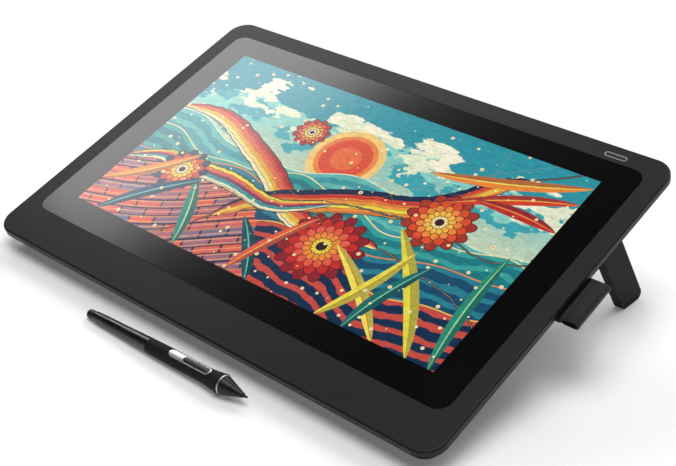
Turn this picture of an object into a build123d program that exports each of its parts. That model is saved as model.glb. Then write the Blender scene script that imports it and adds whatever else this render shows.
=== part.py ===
from build123d import *
from math import atan, cos, degrees, radians, tan
import os

# A pen display: a graphics tablet with a 15.6 inch screen that stands on two fold-out legs,
# with its pen lying on the desk in front of it. All lengths are in millimetres.
# The tablet is drawn in its own frame: X to the right, Y up the screen, Z out of the glass,
# with the origin at the middle of the picture on the glass face. place_tablet() then tilts
# it and stands it on the desk, where the origin is the middle of the front foot's standing
# facet, X runs to the right, Y to the rear and Z up.

# Whole tablet
tilt = 19.0
body_corner = 16.0
body_thickness = 22.0
wall = 2.2
cut_over = 2.0

# Front frame
side_border = 15.0
front_border = 31.5
rear_border = 16.5
frame_rim = 5.0
frame_plate = 2.4
frame_round = 1.3
parting_gap = 0.4
glass_gap = 0.35
ledge_width = 8.0
ledge_thickness = 1.5
ledge_border = 3.0
lip_height = 1.8
lip_thickness = 1.0
lip_clearance = 0.15

# Cover glass and the stack under it
glass_width = 392.0
glass_depth = 237.0
glass_corner = 10.0
glass_thickness = 1.6
glass_tape = 0.3
panel_side_margin = 20.0
panel_front_margin = 16.0
panel_rear_margin = 14.0
panel_corner = 2.0
panel_thickness = 1.4
film_thickness = 0.8
guide_thickness = 2.0
guide_clearance = 1.0
tray_sheet = 0.6
led_strip_thickness = 1.2
led_margin = 6.0
sensor_thickness = 0.8
sensor_inset = 1.5
shield_thickness = 0.5
shield_inset = 3.0

# Inner frame that carries the stack and the electronics
inner_side_margin = 2.0
inner_end_margin = 10.0
inner_corner = 4.0
inner_thickness = 2.0
inner_bar = 16.5
inner_bar_aside = 2.6
inner_edge = 14.0
inner_window_corner = 8.0
inner_boss_radius = 2.6
inner_boss_inset = 3.0
inner_boss_end = 13.5
inner_slot_depth = 4.0

# Electronics
board_depth = 70.0
board_thickness = 1.6
board_gap = 2.4
board_leg_gap = 8.8
board_standoff = 2.3
standoff_radius = 3.0
board_hole_inset = 4.5
socket_width = 32.0
socket_depth = 12.6
socket_height = 5.6
socket_wall = 1.2
socket_place = 23.0
chip_size = 22.0
chip_height = 2.2
small_chip_size = 14.0
small_chip_height = 1.6
chip_place = 22.0
capacitor_radius = 2.5
capacitor_height = 3.2
capacitor_pitch = 9.0
flex_thickness = 0.3
flex_width = 26.0
flex_bay_gap = 0.5
flex_reach = 2.0
flex_connector_depth = 6.0
flex_connector_height = 2.4

# Back cover
side_inset = 11.0
front_inset = 8.0
rear_inset = 11.0
flat_corner = 12.0
back_round = 5.0
rib_thickness = 1.4
rib_height = 3.0
rib_pitch = 38.0

# Case screws
boss_joint_depth = 10.0
case_boss_radius = 4.8
frame_boss_radius = 3.5
screw_radius = 1.5
screw_pass_radius = 1.8
screw_head_radius = 2.8
screw_head_height = 2.0
screw_well_radius = 3.25
screw_well_floor = 4.0
screw_bite = 5.4
case_screw_inner = 75.0
case_screw_side_inset = 41.0
case_screw_front_inset = 27.0
case_screw_rear_inset = 20.5
small_screw_radius = 1.25
small_screw_head_radius = 2.2
small_screw_head_height = 1.4
small_screw_bite = 3.0

# Threaded inserts for a stand, on a square
stand_pitch = 75.0
stand_shift = -30.0
stand_thread_radius = 2.0
insert_radius = 3.0
insert_length = 6.0
insert_boss_radius = 5.2
insert_recess = 0.4

# Fold-out legs
hinge_inset = 6.75
hinge_height = 5.0
hinge_rear_inset = 68.6
leg_width = 23.4
leg_thickness = 7.5
leg_lean = 15.5
leg_corner = 4.5
leg_clearance = 0.5
leg_stop = 90.0
fold_steps = 6
leg_shell = 1.6
leg_rib = 1.2
leg_hollow_start = 9.0
leg_rib_shares = (0.3, 0.5, 0.7)
leg_pad_height = 3.0
pad_tongue = 1.5
pad_tongue_width = 9.0
hinge_pin_radius = 1.5
hinge_pin_clearance = 0.05
hinge_pin_grip = 4.0
hinge_boss_radius = 3.6
washer_radius = 3.0
pocket_wall = 2.0
finger_radius = 9.0
finger_depth = 5.0
finger_share = 0.72

# Feet
foot_length = 250.0
foot_width = 12.0
foot_height = 2.5
foot_seat = 1.0
foot_edge = 1.5
foot_crest_share = 7 / 12
rear_foot_radius = 7.0
rear_foot_side_inset = 50.0
rear_foot_rear_inset = 26.0
rear_foot_round = 1.0

# Cable compartment and its cover
bay_width = 96.0
bay_depth = 22.6
bay_rear_inset = 15.0
bay_ceiling = 9.6
bay_wall = 2.0
bay_corner = 2.0
rebate_width = 1.6
cover_thickness = 2.0
cover_clearance = 0.3
snap_width = 7.0
snap_height = 4.0
snap_thickness = 1.2
snap_place = 43.0
channel_width = 14.0
channel_height = 6.5
nib_cradle_height = 3.2
nib_cradle_thickness = 1.6
nib_store_inset = 4.0
nib_store_pitch = 4.5
puller_radius = 4.5
puller_bore = 1.5
puller_height = 5.0
puller_place = 11.0

# Power button
button_side_inset = 43.65
button_rear_inset = 10.2
light_length = 17.7
light_width = 4.6
light_wall = 0.7
button_clearance = 0.2
button_proud = 0.1
button_flange = 0.7
button_stem_radius = 1.2
button_stem = 1.2
switch_board_length = 26.0
switch_board_width = 9.0
switch_board_thickness = 1.0
switch_size = 4.2
switch_height = 1.5
switch_gap = 0.5
post_radius = 1.6
post_span = 10.5

# Pen loop
loop_length = 38.0
loop_station = 2.0
loop_reach = 14.0
loop_height = 7.4
loop_skin = 0.8
loop_drop = 8.5
loop_gap = 0.5
strap_length = 42.0
strap_thickness = 2.4
strap_clearance = 0.3
anchor_width = 4.0
anchor_height = 5.5
anchor_length = 44.0
anchor_round = 0.8

# Pen
pen_length = 157.0
pen_tail_x = -78.0
pen_front = 38.3
pen_roll = 12.7
eraser_length = 8.0
eraser_radius = 3.45
eraser_stem_radius = 1.6
eraser_stem = 6.0
eraser_gap = 0.6
eraser_travel = 0.5
eraser_round_share = 0.9
barrel_start_radius = 3.9
barrel_early = 18.7
barrel_early_radius = 4.35
barrel_middle = 36.0
barrel_middle_radius = 4.7
grip_start = 65.0
grip_start_radius = 5.45
grip_waist = 98.0
grip_waist_radius = 5.75
grip_neck = 127.0
grip_neck_radius = 6.35
grip_end = 135.5
grip_end_radius = 7.5
grip_skin = 0.9
ring_length = 1.2
ring_radius = 7.0
cone_start_radius = 6.7
cone_end_radius = 1.5
cone_groove = 144.8
cone_groove_width = 0.5
cone_groove_depth = 0.25
nib_proud = 3.0
nib_radius = 0.85
nib_tip_radius = 0.45
nib_bore_clearance = 0.1
nib_inside = 22.0
pen_bore_radius = 3.2
pen_board_width = 5.4
pen_board_thickness = 1.0
pen_board_start = 60.0
pen_board_end = 118.0
coil_radius = 3.0
coil_length = 16.0
bezel_start = 86.8
bezel_end = 125.5
bezel_width = 6.0
bezel_seat = 1.7
bezel_proud = 0.35
pad_end = 100.0
bezel_rim = 0.8
switch_proud = 0.5
switch_depth = 1.0
switch_clearance = 0.25
switch_axle_radius = 0.6
switch_axle_clearance = 0.05

# Sizes and middles that follow the glass
body_width = glass_width + side_border * 2
body_depth = glass_depth + front_border + rear_border
panel_width = glass_width - panel_side_margin * 2
panel_depth = glass_depth - panel_front_margin - panel_rear_margin
glass_shift = (panel_rear_margin - panel_front_margin) / 2
body_shift = glass_shift + (rear_border - front_border) / 2
body_front = body_shift - body_depth / 2
body_rear = body_shift + body_depth / 2
flat_width = body_width - side_inset * 2
flat_depth = body_depth - front_inset - rear_inset
flat_shift = body_shift + (front_inset - rear_inset) / 2
flat_front = body_front + front_inset
inner_width = glass_width - inner_side_margin * 2
inner_depth = glass_depth - inner_end_margin * 2
inner_boss_span = inner_width / 2 - inner_boss_inset
inner_boss_pitch = inner_depth / 2 - inner_boss_end

# Levels below the glass face
under_glass = -glass_thickness
under_tape = under_glass - glass_tape
under_ledge = under_tape - ledge_thickness
under_panel = under_glass - panel_thickness
under_films = under_panel - film_thickness
under_guide = under_films - guide_thickness
under_tray = under_guide - tray_sheet
under_sensor = under_tray - sensor_thickness
under_shield = under_sensor - shield_thickness
under_inner = under_shield - inner_thickness
board_top = under_inner - board_standoff
under_board = board_top - board_thickness
boss_joint = -boss_joint_depth
under_rim = -frame_rim
cover_top = under_rim - parting_gap
back_face = -body_thickness
floor_top = back_face + wall
well_floor = boss_joint - screw_well_floor
hinge_level = back_face + hinge_height
pocket_ceiling = hinge_level + leg_thickness / 2 + leg_clearance
bay_top = back_face + bay_ceiling
rebate_floor = back_face + cover_thickness
switch_board_top = -frame_plate - button_flange - button_stem - switch_gap - switch_height
loop_level = -loop_drop
barrel_begin = eraser_length + eraser_gap
switch_middle = (pad_end + bezel_end - bezel_rim) / 2
switch_level = grip_waist_radius - switch_depth / 2

# Places worked out from the sizes above
tray_width = panel_width + tray_sheet * 2
tray_depth = panel_depth + tray_sheet * 2
guide_width = panel_width - guide_clearance
guide_depth = panel_depth - guide_clearance
bay_rear = body_rear - bay_rear_inset
bay_front = bay_rear - bay_depth
bay_middle = bay_front + bay_depth / 2
board_rear = bay_front - board_gap
board_centre = board_rear - board_depth / 2
socket_middle = bay_front + bay_wall / 2 - socket_depth / 2
hinge_place = flat_width / 2 - hinge_inset
hinge_station = body_rear - hinge_rear_inset
knuckle_radius = leg_thickness / 2
flex_place = bay_width / 2 + bay_wall + flex_bay_gap + flex_width / 2
rear_foot_place = flat_width / 2 - rear_foot_side_inset
rear_foot_station = body_rear - rear_foot_rear_inset
button_place = body_width / 2 - button_side_inset
button_station = body_rear - button_rear_inset
foot_front = flat_front + foot_edge
foot_crest = foot_front + foot_width * foot_crest_share
foot_level = back_face - foot_height
facet_run = foot_crest - foot_front
facet_rise = facet_run * tan(radians(tilt))
origin_station = foot_front + facet_run / 2
origin_level = foot_level + facet_rise / 2
case_screw_spots = [
    (side * place, station)
    for side in (-1, 1)
    for place in (case_screw_inner, body_width / 2 - case_screw_side_inset)
    for station in (body_front + case_screw_front_inset, body_rear - case_screw_rear_inset)
]
inner_screw_spots = [
    (side * inner_boss_span, row * inner_boss_pitch + glass_shift)
    for side in (-1, 1)
    for row in (-1, 0, 1)
]
stand_spots = [
    (side * stand_pitch / 2, stand_shift + row * stand_pitch / 2)
    for side in (-1, 1)
    for row in (-1, 1)
]


def desk_level(station):
    """Height of the desk in the tablet's frame, under a place this far up the screen."""
    return foot_level - (station - foot_crest) * tan(radians(tilt))


def place_tablet(piece):
    """Tilt a piece of the tablet and stand it on the desk."""
    return Rot(tilt, 0, 0) * Pos(0, -origin_station, -origin_level) * piece


def slab(width, depth, corner, top, bottom, x=0, y=0):
    """Plate with rounded corners between two levels."""
    return Pos(x, y, bottom) * extrude(RectangleRounded(width, depth, corner), amount=top - bottom)


def block(width, depth, top, bottom, x=0, y=0):
    """Square-cornered block between two levels."""
    return Pos(x, y, (top + bottom) / 2) * Box(width, depth, top - bottom)


def post(radius, top, bottom, spot):
    """Round post or hole between two levels."""
    return Pos(spot[0], spot[1], (top + bottom) / 2) * Cylinder(radius, top - bottom)


def pill(length, width, top, bottom, x, y):
    """Slot-shaped plate between two levels."""
    return Pos(x, y, bottom) * extrude(SlotOverall(length, width), amount=top - bottom)


def total(shapes):
    """Join a list of shapes into one."""
    joined = shapes[0]
    for shape in shapes[1:]:
        joined = joined + shape
    return joined


def tub(top, bottom, inset):
    """Tapering form of the back, drawn in by an inset all round."""
    upper = RectangleRounded(body_width - inset * 2, body_depth - inset * 2, body_corner - inset)
    lower = RectangleRounded(flat_width - inset * 2, flat_depth - inset * 2, flat_corner - inset)
    return loft([Pos(0, body_shift, top) * upper, Pos(0, flat_shift, bottom) * lower], ruled=True)


def ledge_window(top, bottom):
    """Opening inside the ledge that carries the glass."""
    width = glass_width - ledge_width * 2
    depth = glass_depth - ledge_width * 2
    return slab(width, depth, glass_corner - wall, top, bottom, y=glass_shift)


def front_frame():
    """Moulded front: rim, top plate, ledge under the glass and screw bosses."""
    frame = slab(body_width, body_depth, body_corner, 0, under_rim, y=body_shift)
    top_edges = frame.edges().group_by(Axis.Z)[-1]
    frame = fillet(top_edges, frame_round)
    inside = slab(
        body_width - wall * 2,
        body_depth - wall * 2,
        body_corner - wall,
        -frame_plate,
        under_rim - cut_over,
        y=body_shift,
    )
    ledge = slab(
        glass_width + ledge_border * 2,
        glass_depth + ledge_border * 2,
        glass_corner + ledge_border,
        -frame_plate,
        under_ledge,
        y=glass_shift,
    )
    frame = frame - inside + ledge
    pocket_width = glass_width + glass_gap * 2
    pocket_depth = glass_depth + glass_gap * 2
    frame -= slab(pocket_width, pocket_depth, glass_corner + glass_gap, cut_over, under_tape, y=glass_shift)
    frame -= ledge_window(cut_over, under_ledge - cut_over)
    for spot in case_screw_spots:
        start = under_ledge if spot[1] > 0 else -frame_plate
        frame += post(frame_boss_radius, start, boss_joint, spot)
        frame -= post(screw_radius, boss_joint + screw_bite, boss_joint - cut_over, spot)
    for spot in inner_screw_spots:
        frame += post(inner_boss_radius, under_ledge, under_shield, spot)
        frame -= post(small_screw_radius, under_shield + small_screw_bite, under_shield - cut_over, spot)
    for side in (-1, 1):
        spot = (button_place + side * post_span, button_station)
        frame += post(post_radius, -frame_plate, switch_board_top, spot)
    low = -frame_plate - cut_over
    return frame - pill(light_length, light_width, cut_over, low, button_place, button_station)


def cover_glass():
    """Etched cover glass with rounded corners."""
    return slab(glass_width, glass_depth, glass_corner, 0, under_glass, y=glass_shift)


def glass_adhesive():
    """Tape that holds the glass on the frame's ledge."""
    tape = slab(glass_width, glass_depth, glass_corner, under_glass, under_tape, y=glass_shift)
    return tape - ledge_window(0, under_tape - cut_over)


def lcd_panel():
    """Liquid crystal panel, which lies against the back of the glass."""
    return slab(panel_width, panel_depth, panel_corner, under_glass, under_panel)


def diffuser_films():
    """Stack of diffusing and prism films under the panel."""
    return slab(guide_width, guide_depth, panel_corner, under_panel, under_films)


def light_guide():
    """Acrylic plate that spreads the light, cut back at the front for the light strip."""
    guide = slab(guide_width, guide_depth, panel_corner, under_films, under_guide)
    front = -guide_depth / 2
    return guide - block(guide_width + cut_over, led_strip_thickness * 2, 0, under_tray, y=front)


def led_strip():
    """Strip of light-emitting diodes along the front edge of the guide."""
    front = -guide_depth / 2 + led_strip_thickness / 2
    return block(guide_width - led_margin * 2, led_strip_thickness, under_films, under_guide, y=front)


def panel_tray():
    """Folded sheet tray that holds the light guide and carries the panel on its rim."""
    tray = slab(tray_width, tray_depth, panel_corner, under_panel, under_tray)
    return tray - slab(guide_width, guide_depth, panel_corner, 0, under_guide)


def sensor_board():
    """Board with the aerial grid that finds the pen."""
    width = panel_width - sensor_inset * 2
    depth = panel_depth - sensor_inset * 2
    return slab(width, depth, panel_corner, under_tray, under_sensor)


def shield_plate():
    """Steel sheet behind the sensor board."""
    width = panel_width - shield_inset * 2
    depth = panel_depth - shield_inset * 2
    return slab(width, depth, panel_corner, under_sensor, under_shield)


def inner_frame():
    """Plate with windows that presses the stack to the glass and carries the main board."""
    frame = slab(inner_width, inner_depth, inner_corner, under_shield, under_inner, y=glass_shift)
    bar_place = board_side() - board_hole_inset + inner_bar_aside
    side_window = inner_width / 2 - inner_edge - bar_place - inner_bar / 2
    window_depth = inner_depth / 2 - inner_edge - inner_bar / 2
    windows = [
        (bar_place - inner_bar, bar_place / 2),
        (side_window, bar_place + (inner_bar + side_window) / 2),
    ]
    for window_width, place in windows:
        for side in (-1, 1):
            for row in (-1, 1):
                frame -= slab(
                    window_width,
                    window_depth,
                    inner_window_corner,
                    under_shield + cut_over,
                    under_inner - cut_over,
                    x=side * place,
                    y=glass_shift + row * (window_depth + inner_bar) / 2,
                )
    for spot in board_screw_spots():
        frame += post(standoff_radius, under_inner, board_top, spot)
        frame -= post(small_screw_radius, under_shield + cut_over, board_top - cut_over, spot)
    for spot in inner_screw_spots:
        frame -= post(small_screw_radius, under_shield + cut_over, under_inner - cut_over, spot)
    slot_low = under_inner - cut_over
    slot_station = glass_shift + inner_depth / 2
    for side in (-1, 1):
        place = side * flex_place
        frame -= block(flex_width + cut_over, inner_slot_depth * 2, 0, slot_low, place, slot_station)
    return frame


def board_side():
    """Side place of the main board's edge, clear of the ends of the folded legs."""
    return hinge_place - leg_drop(leg_width / 2, 0) - board_leg_gap


def board_screw_spots():
    """Places of the main board's screws, near its corners."""
    aside = board_side() - board_hole_inset
    along = board_depth / 2 - board_hole_inset
    return [(side * aside, board_centre + row * along) for side in (-1, 1) for row in (-1, 1)]


def main_board():
    """Circuit board with its screw holes."""
    board = slab(board_side() * 2, board_depth, panel_corner, board_top, under_board, y=board_centre)
    for spot in board_screw_spots():
        board -= post(small_screw_radius, board_top + cut_over, under_board - cut_over, spot)
    return board


def flex_connector_station():
    """Middle of the ribbon connectors at the board's rear edge."""
    return board_rear - flex_connector_depth / 2 - small_screw_head_height


def board_components():
    """Chips, capacitors and connectors soldered under the main board."""
    low = under_board - chip_height
    small_low = under_board - small_chip_height
    parts = [
        block(chip_size, chip_size, under_board, low, -chip_place, board_centre),
        block(small_chip_size, small_chip_size, under_board, small_low, chip_place, board_centre),
    ]
    for step in range(-2, 3):
        spot = (step * capacitor_pitch, board_centre - board_depth / 2 + capacitor_pitch)
        parts.append(post(capacitor_radius, under_board, under_board - capacitor_height, spot))
    for side in (-1, 1):
        connector = block(
            flex_width + cut_over,
            flex_connector_depth,
            under_board,
            under_board - flex_connector_height,
            side * flex_place,
            flex_connector_station(),
        )
        parts.append(connector)
    return group(parts)


def cable_socket():
    """Combined power and signal socket that opens into the cable compartment."""
    low = under_board - socket_height
    shell = block(socket_width, socket_depth, under_board, low, socket_place, socket_middle)
    mouth = slab(
        socket_width - socket_wall * 2,
        socket_depth,
        socket_wall,
        under_board - socket_wall,
        low + socket_wall,
        socket_place,
        socket_middle + socket_wall * 2,
    )
    return shell - mouth


def ribbon(side, start_level, start_station):
    """Flat flexible lead from the stack round its rear edge to the main board."""
    outer_station = tray_depth / 2 + flex_reach
    half = flex_connector_height / 2
    plug_level = under_board - half
    plug_station = flex_connector_station() + flex_connector_depth / 2
    path = [
        (start_station, start_level),
        (outer_station + flex_thickness, start_level),
        (outer_station + flex_thickness, plug_level - flex_thickness),
        (plug_station, plug_level - flex_thickness),
        (plug_station, plug_level),
        (outer_station, plug_level),
        (outer_station, start_level - flex_thickness),
        (start_station, start_level - flex_thickness),
    ]
    outline = Plane.YZ * make_face(Polyline(*path, close=True))
    lead = extrude(outline, amount=flex_width / 2, both=True)
    return Pos(side * flex_place, 0, 0) * lead


def display_flex():
    """Lead of the liquid crystal panel."""
    return ribbon(1, under_glass - flex_thickness, panel_depth / 2)


def sensor_flex():
    """Lead of the sensor board."""
    return ribbon(-1, under_tray - flex_thickness, panel_depth / 2 - sensor_inset)


def leg_drop(aside, low):
    """Drop from the hinge axis to the desk, or lower by low, down a line of the leg.

    The line starts aside of the leg's middle and leans to the rear below the knuckle.
    """
    slope = tan(radians(leg_lean))
    desk_slope = tan(radians(tilt))
    reach = hinge_level - desk_level(hinge_station) + low
    return (reach + (aside - knuckle_radius * slope) * desk_slope) / (1 - slope * desk_slope)


def leg_side(grow, low, heel):
    """Side view of a leg as a face: rearward against down from the hinge axis.

    The leg leans to the rear and ends on the desk plane, or lower by low. It starts
    above the hinge axis by heel and is wider on each side by grow.
    """
    half = leg_width / 2 + grow
    slope = tan(radians(leg_lean))
    rear_drop = leg_drop(half, low)
    front_drop = leg_drop(-half, low)
    corners = [
        (-half, -heel),
        (half, -heel),
        (half, knuckle_radius),
        (half + (rear_drop - knuckle_radius) * slope, rear_drop),
        (-half + (front_drop - knuckle_radius) * slope, front_drop),
        (-half, knuckle_radius),
    ]
    return make_face(Polyline(*corners, close=True))


def hinge_round(radius, length):
    """Round bar along the right hinge axis."""
    return Pos(hinge_place, hinge_station, hinge_level) * Rot(90, 0, 0) * Cylinder(radius, length)


def leg_plate(face, near, far):
    """Leg side view given a thickness, between two places to the right of the hinge axis."""
    place = (hinge_place + far, hinge_station, hinge_level)
    side_plane = Plane(origin=place, x_dir=(0, 1, 0), z_dir=(-1, 0, 0))
    return extrude(side_plane * face, amount=far - near)


def folded(piece, angle):
    """A piece of the right leg turned inwards about its hinge."""
    return Pos(hinge_place, 0, hinge_level) * Rot(0, angle, 0) * Pos(-hinge_place, 0, -hinge_level) * piece


def leg_blank():
    """Right leg and its foot pad in one, with rounded lower corners."""
    side_view = leg_side(0, 0, 0)
    low_corners = side_view.vertices().sort_by(Axis.Y)[-2:]
    side_view = fillet(low_corners, leg_corner)
    half = leg_thickness / 2
    return leg_plate(side_view, -half, half) + hinge_round(half, leg_width)


def above_leg_pad():
    """Region above the joint between the leg and its foot pad."""
    side_view = leg_side(leg_thickness, -leg_pad_height, leg_thickness)
    return leg_plate(side_view, -leg_thickness, leg_thickness)


def pad_tongue_form():
    """Tongue of the foot pad, which plugs into the leg's end."""
    drop = leg_drop(0, -leg_pad_height)
    station = hinge_station + (drop - knuckle_radius) * tan(radians(leg_lean))
    tongue = Box(leg_thickness - leg_shell * 2, pad_tongue_width, pad_tongue * 2)
    return Pos(hinge_place, station, hinge_level - drop) * Rot(-tilt, 0, 0) * tongue


def right_leg():
    """Slanted leg with a knuckle for the hinge pin and a ribbed inner side."""
    half = leg_thickness / 2
    leg = leg_blank() & above_leg_pad()
    solid_end = leg_pad_height + pad_tongue + leg_shell
    hollow = leg_plate(leg_side(-leg_shell, -solid_end, 0), -half - cut_over, half - leg_shell)
    start = hinge_level - leg_hollow_start
    reach = hinge_level - desk_level(hinge_station)
    middle = hinge_station + leg_width
    below_knuckle = block(leg_width * 3, leg_width * 3, start, start - reach * 2, hinge_place, middle)
    hollow = hollow & below_knuckle
    for share in leg_rib_shares:
        level = hinge_level - reach * share
        hollow -= block(leg_width, leg_width * 4, level, level - leg_rib, hinge_place, hinge_station)
    leg -= hollow
    leg -= pad_tongue_form()
    return leg - hinge_round(hinge_pin_radius + hinge_pin_clearance, leg_width + cut_over)


def right_leg_pad():
    """Rubber end of the leg, cut parallel to the desk."""
    above_pad = above_leg_pad()
    return leg_blank() - above_pad + (pad_tongue_form() & above_pad)


def hinge_pins():
    """Steel pin of each leg."""
    pin = hinge_round(hinge_pin_radius, leg_width + (leg_clearance + hinge_pin_grip) * 2)
    return pair(pin)


def hinge_washers():
    """Spring washers that make each leg stiff to turn, two to a leg."""
    rings = hinge_round(washer_radius, leg_width + leg_clearance * 2)
    rings -= hinge_round(washer_radius * 2, leg_width)
    rings -= hinge_round(hinge_pin_radius, leg_width * 2)
    return pair(rings)


def mirrored(piece):
    """The same piece on the left side of the tablet."""
    return mirror(piece, about=Plane.YZ)


def pair(piece):
    """A right piece and its left twin in one node."""
    return Compound(children=list(piece.solids()) + list(mirrored(piece).solids()))


def group(pieces):
    """Separate solids kept together in one node."""
    return Compound(children=[solid for piece in pieces for solid in piece.solids()])


def pocket_form(grow, top, bottom):
    """Right leg's folded outline as a prism in the back cover."""
    heel = leg_thickness / 2 + grow
    plane = Plane(origin=(hinge_place, hinge_station, bottom), x_dir=(0, 1, 0), z_dir=(0, 0, 1))
    return extrude(plane * leg_side(grow, grow, heel), amount=top - bottom)


def finger_spot():
    """Place of the finger scoop beside the folded leg's free end."""
    reach = leg_drop(0, 0) * finger_share
    middle = hinge_station + (reach - knuckle_radius) * tan(radians(leg_lean))
    return (hinge_place - reach, middle - leg_width / 2)


def cavity_half_width(level):
    """Half the inner width of the back cover at a level."""
    share = (cover_top - level) / (cover_top - floor_top)
    return body_width / 2 - wall - (body_width - flat_width) / 2 * share


def anchor_face():
    """Side place of the strap anchor's outer face, against the sloping wall."""
    return cavity_half_width(loop_level - anchor_height / 2) - strap_clearance


def cover_ribs():
    """Crossed stiffening ribs on the back cover's floor."""
    top = floor_top + rib_height
    columns = int(body_width / 2 / rib_pitch)
    rows = int(body_depth / 2 / rib_pitch)
    ribs = [
        block(rib_thickness, body_depth, top, back_face, x=step * rib_pitch, y=body_shift)
        for step in range(-columns, columns + 1)
    ]
    ribs += [
        block(body_width, rib_thickness, top, back_face, y=body_shift + step * rib_pitch)
        for step in range(-rows, rows + 1)
    ]
    return total(ribs)


def cover_additions():
    """All that stands inside the back cover: ribs, bosses, pocket walls and the cable bay."""
    parts = [cover_ribs()]
    boss_length = leg_width + (leg_clearance + hinge_pin_grip + pocket_wall) * 2
    scoop_top = back_face + finger_depth + pocket_wall
    right_pocket = pocket_form(leg_clearance + pocket_wall, pocket_ceiling + pocket_wall, back_face)
    right_pocket += hinge_round(hinge_boss_radius, boss_length)
    right_pocket += post(finger_radius + pocket_wall, scoop_top, back_face, finger_spot())
    parts += [right_pocket, mirrored(right_pocket)]
    parts.append(
        slab(
            bay_width + bay_wall * 2,
            bay_depth + bay_wall * 2,
            bay_corner + bay_wall,
            bay_top + bay_wall,
            back_face,
            y=bay_middle,
        )
    )
    channel_depth = body_rear - bay_rear
    parts.append(
        block(
            channel_width + wall * 2,
            channel_depth,
            back_face + channel_height + wall,
            back_face,
            socket_place,
            bay_rear + channel_depth / 2,
        )
    )
    for spot in case_screw_spots:
        parts.append(post(case_boss_radius, boss_joint, back_face, spot))
    insert_boss_top = back_face + insert_recess + insert_length + wall
    for spot in stand_spots:
        parts.append(post(insert_boss_radius, insert_boss_top, back_face, spot))
    return total(parts)


def cover_cuts():
    """Leg pockets, screw wells, insert holes, foot seats, cable bay and strap slot."""
    below = back_face - cut_over
    right_pocket = pocket_form(leg_clearance, pocket_ceiling, below)
    right_pocket += hinge_round(leg_thickness / 2 + leg_clearance, leg_width + leg_clearance * 2)
    right_pocket += hinge_round(hinge_pin_radius, leg_width + (leg_clearance + hinge_pin_grip) * 2)
    right_pocket += post(finger_radius, back_face + finger_depth, below, finger_spot())
    half = leg_thickness / 2 + leg_clearance
    swept = leg_plate(leg_side(leg_clearance, 0, 0), -half, half)
    for step in range(fold_steps):
        right_pocket += folded(swept, leg_stop * step / fold_steps)
    cuts = [right_pocket, mirrored(right_pocket)]
    for spot in case_screw_spots:
        cuts.append(post(screw_pass_radius, boss_joint + cut_over, below, spot))
        cuts.append(post(screw_well_radius, well_floor, below, spot))
    for spot in stand_spots:
        cuts.append(post(insert_radius, back_face + insert_recess + insert_length, below, spot))
    foot_middle = foot_front + foot_width / 2
    cuts.append(block(foot_length, foot_width, back_face + foot_seat, below, y=foot_middle))
    for side in (-1, 1):
        spot = (side * rear_foot_place, rear_foot_station)
        cuts.append(post(rear_foot_radius, back_face + foot_seat, below, spot))
    cuts.append(slab(bay_width, bay_depth, bay_corner, bay_top, below, y=bay_middle))
    rebate = slab(
        bay_width + rebate_width * 2,
        bay_depth + rebate_width * 2,
        bay_corner + rebate_width,
        rebate_floor,
        below,
        y=bay_middle,
    )
    cuts.append(rebate)
    cuts.append(
        block(
            socket_width + cover_clearance * 2,
            socket_depth + cover_clearance * 2,
            under_board + cover_clearance,
            under_board - socket_height - cover_clearance,
            socket_place,
            socket_middle,
        )
    )
    channel_depth = body_rear - bay_rear + cut_over + bay_corner
    channel_middle = bay_rear - bay_corner + channel_depth / 2
    channel_top = back_face + channel_height
    cuts.append(block(channel_width, channel_depth, channel_top, below, socket_place, channel_middle))
    slot_start = anchor_face()
    slot_end = body_width / 2 + cut_over
    cuts.append(
        block(
            slot_end - slot_start,
            strap_length + strap_clearance * 2,
            loop_level + strap_thickness / 2 + strap_clearance,
            loop_level - strap_thickness / 2 - strap_clearance,
            (slot_start + slot_end) / 2,
            loop_station,
        )
    )
    return cuts


def back_cover():
    """Moulded back: tapering shell with lip, ribs, bosses, leg pockets and cable bay."""
    form = tub(cover_top, back_face, 0)
    form = fillet(form.edges().group_by(Axis.Z)[0], back_round)
    cover = form - tub(cover_top, floor_top, wall)
    cover += cover_additions() & form
    lip_inset = wall + lip_clearance
    lip_top = cover_top + lip_height
    lip_bottom = cover_top - frame_rim
    lip = slab(
        body_width - lip_inset * 2,
        body_depth - lip_inset * 2,
        body_corner - lip_inset,
        lip_top,
        lip_bottom,
        y=body_shift,
    )
    inner_inset = lip_inset + lip_thickness
    lip -= slab(
        body_width - inner_inset * 2,
        body_depth - inner_inset * 2,
        body_corner - inner_inset,
        lip_top + cut_over,
        lip_bottom - cut_over,
        y=body_shift,
    )
    above = block(body_width * 2, body_depth * 2, lip_top + cut_over, cover_top)
    cover += (lip & form) + (lip & above)
    cover = cover - cover_cuts()
    cover = cover + nib_cradles()
    return cover - [lying_nib(nib_radius, station) for station in nib_spots()]


def front_foot():
    """Long rubber foot with one facet for standing on the desk and one for lying flat."""
    foot_rear = foot_front + foot_width
    seat = back_face + foot_seat
    corners = [
        (foot_front, seat),
        (foot_rear, seat),
        (foot_rear, foot_level),
        (foot_crest, foot_level),
        (foot_front, foot_level + facet_rise),
    ]
    outline = Plane.YZ * make_face(Polyline(*corners, close=True))
    return extrude(outline, amount=foot_length / 2, both=True)


def rear_feet():
    """Round rubber feet that carry the rear edge when the legs are folded."""
    foot = post(rear_foot_radius, back_face + foot_seat, foot_level, (rear_foot_place, rear_foot_station))
    foot = fillet(foot.edges().group_by(Axis.Z)[0], rear_foot_round)
    return pair(foot)


def screw(head_radius, head_height, shank_radius, under_head, bite, spot):
    """Screw driven upwards, with its head below a level."""
    head = post(head_radius, under_head, under_head - head_height, spot)
    return head + post(shank_radius, under_head + bite, under_head, spot)


def case_screws():
    """Screws that pull the back cover to the front frame."""
    bite = boss_joint - well_floor + screw_bite
    size = (screw_head_radius, screw_head_height, screw_radius, well_floor, bite)
    return group([screw(*size, spot) for spot in case_screw_spots])


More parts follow.
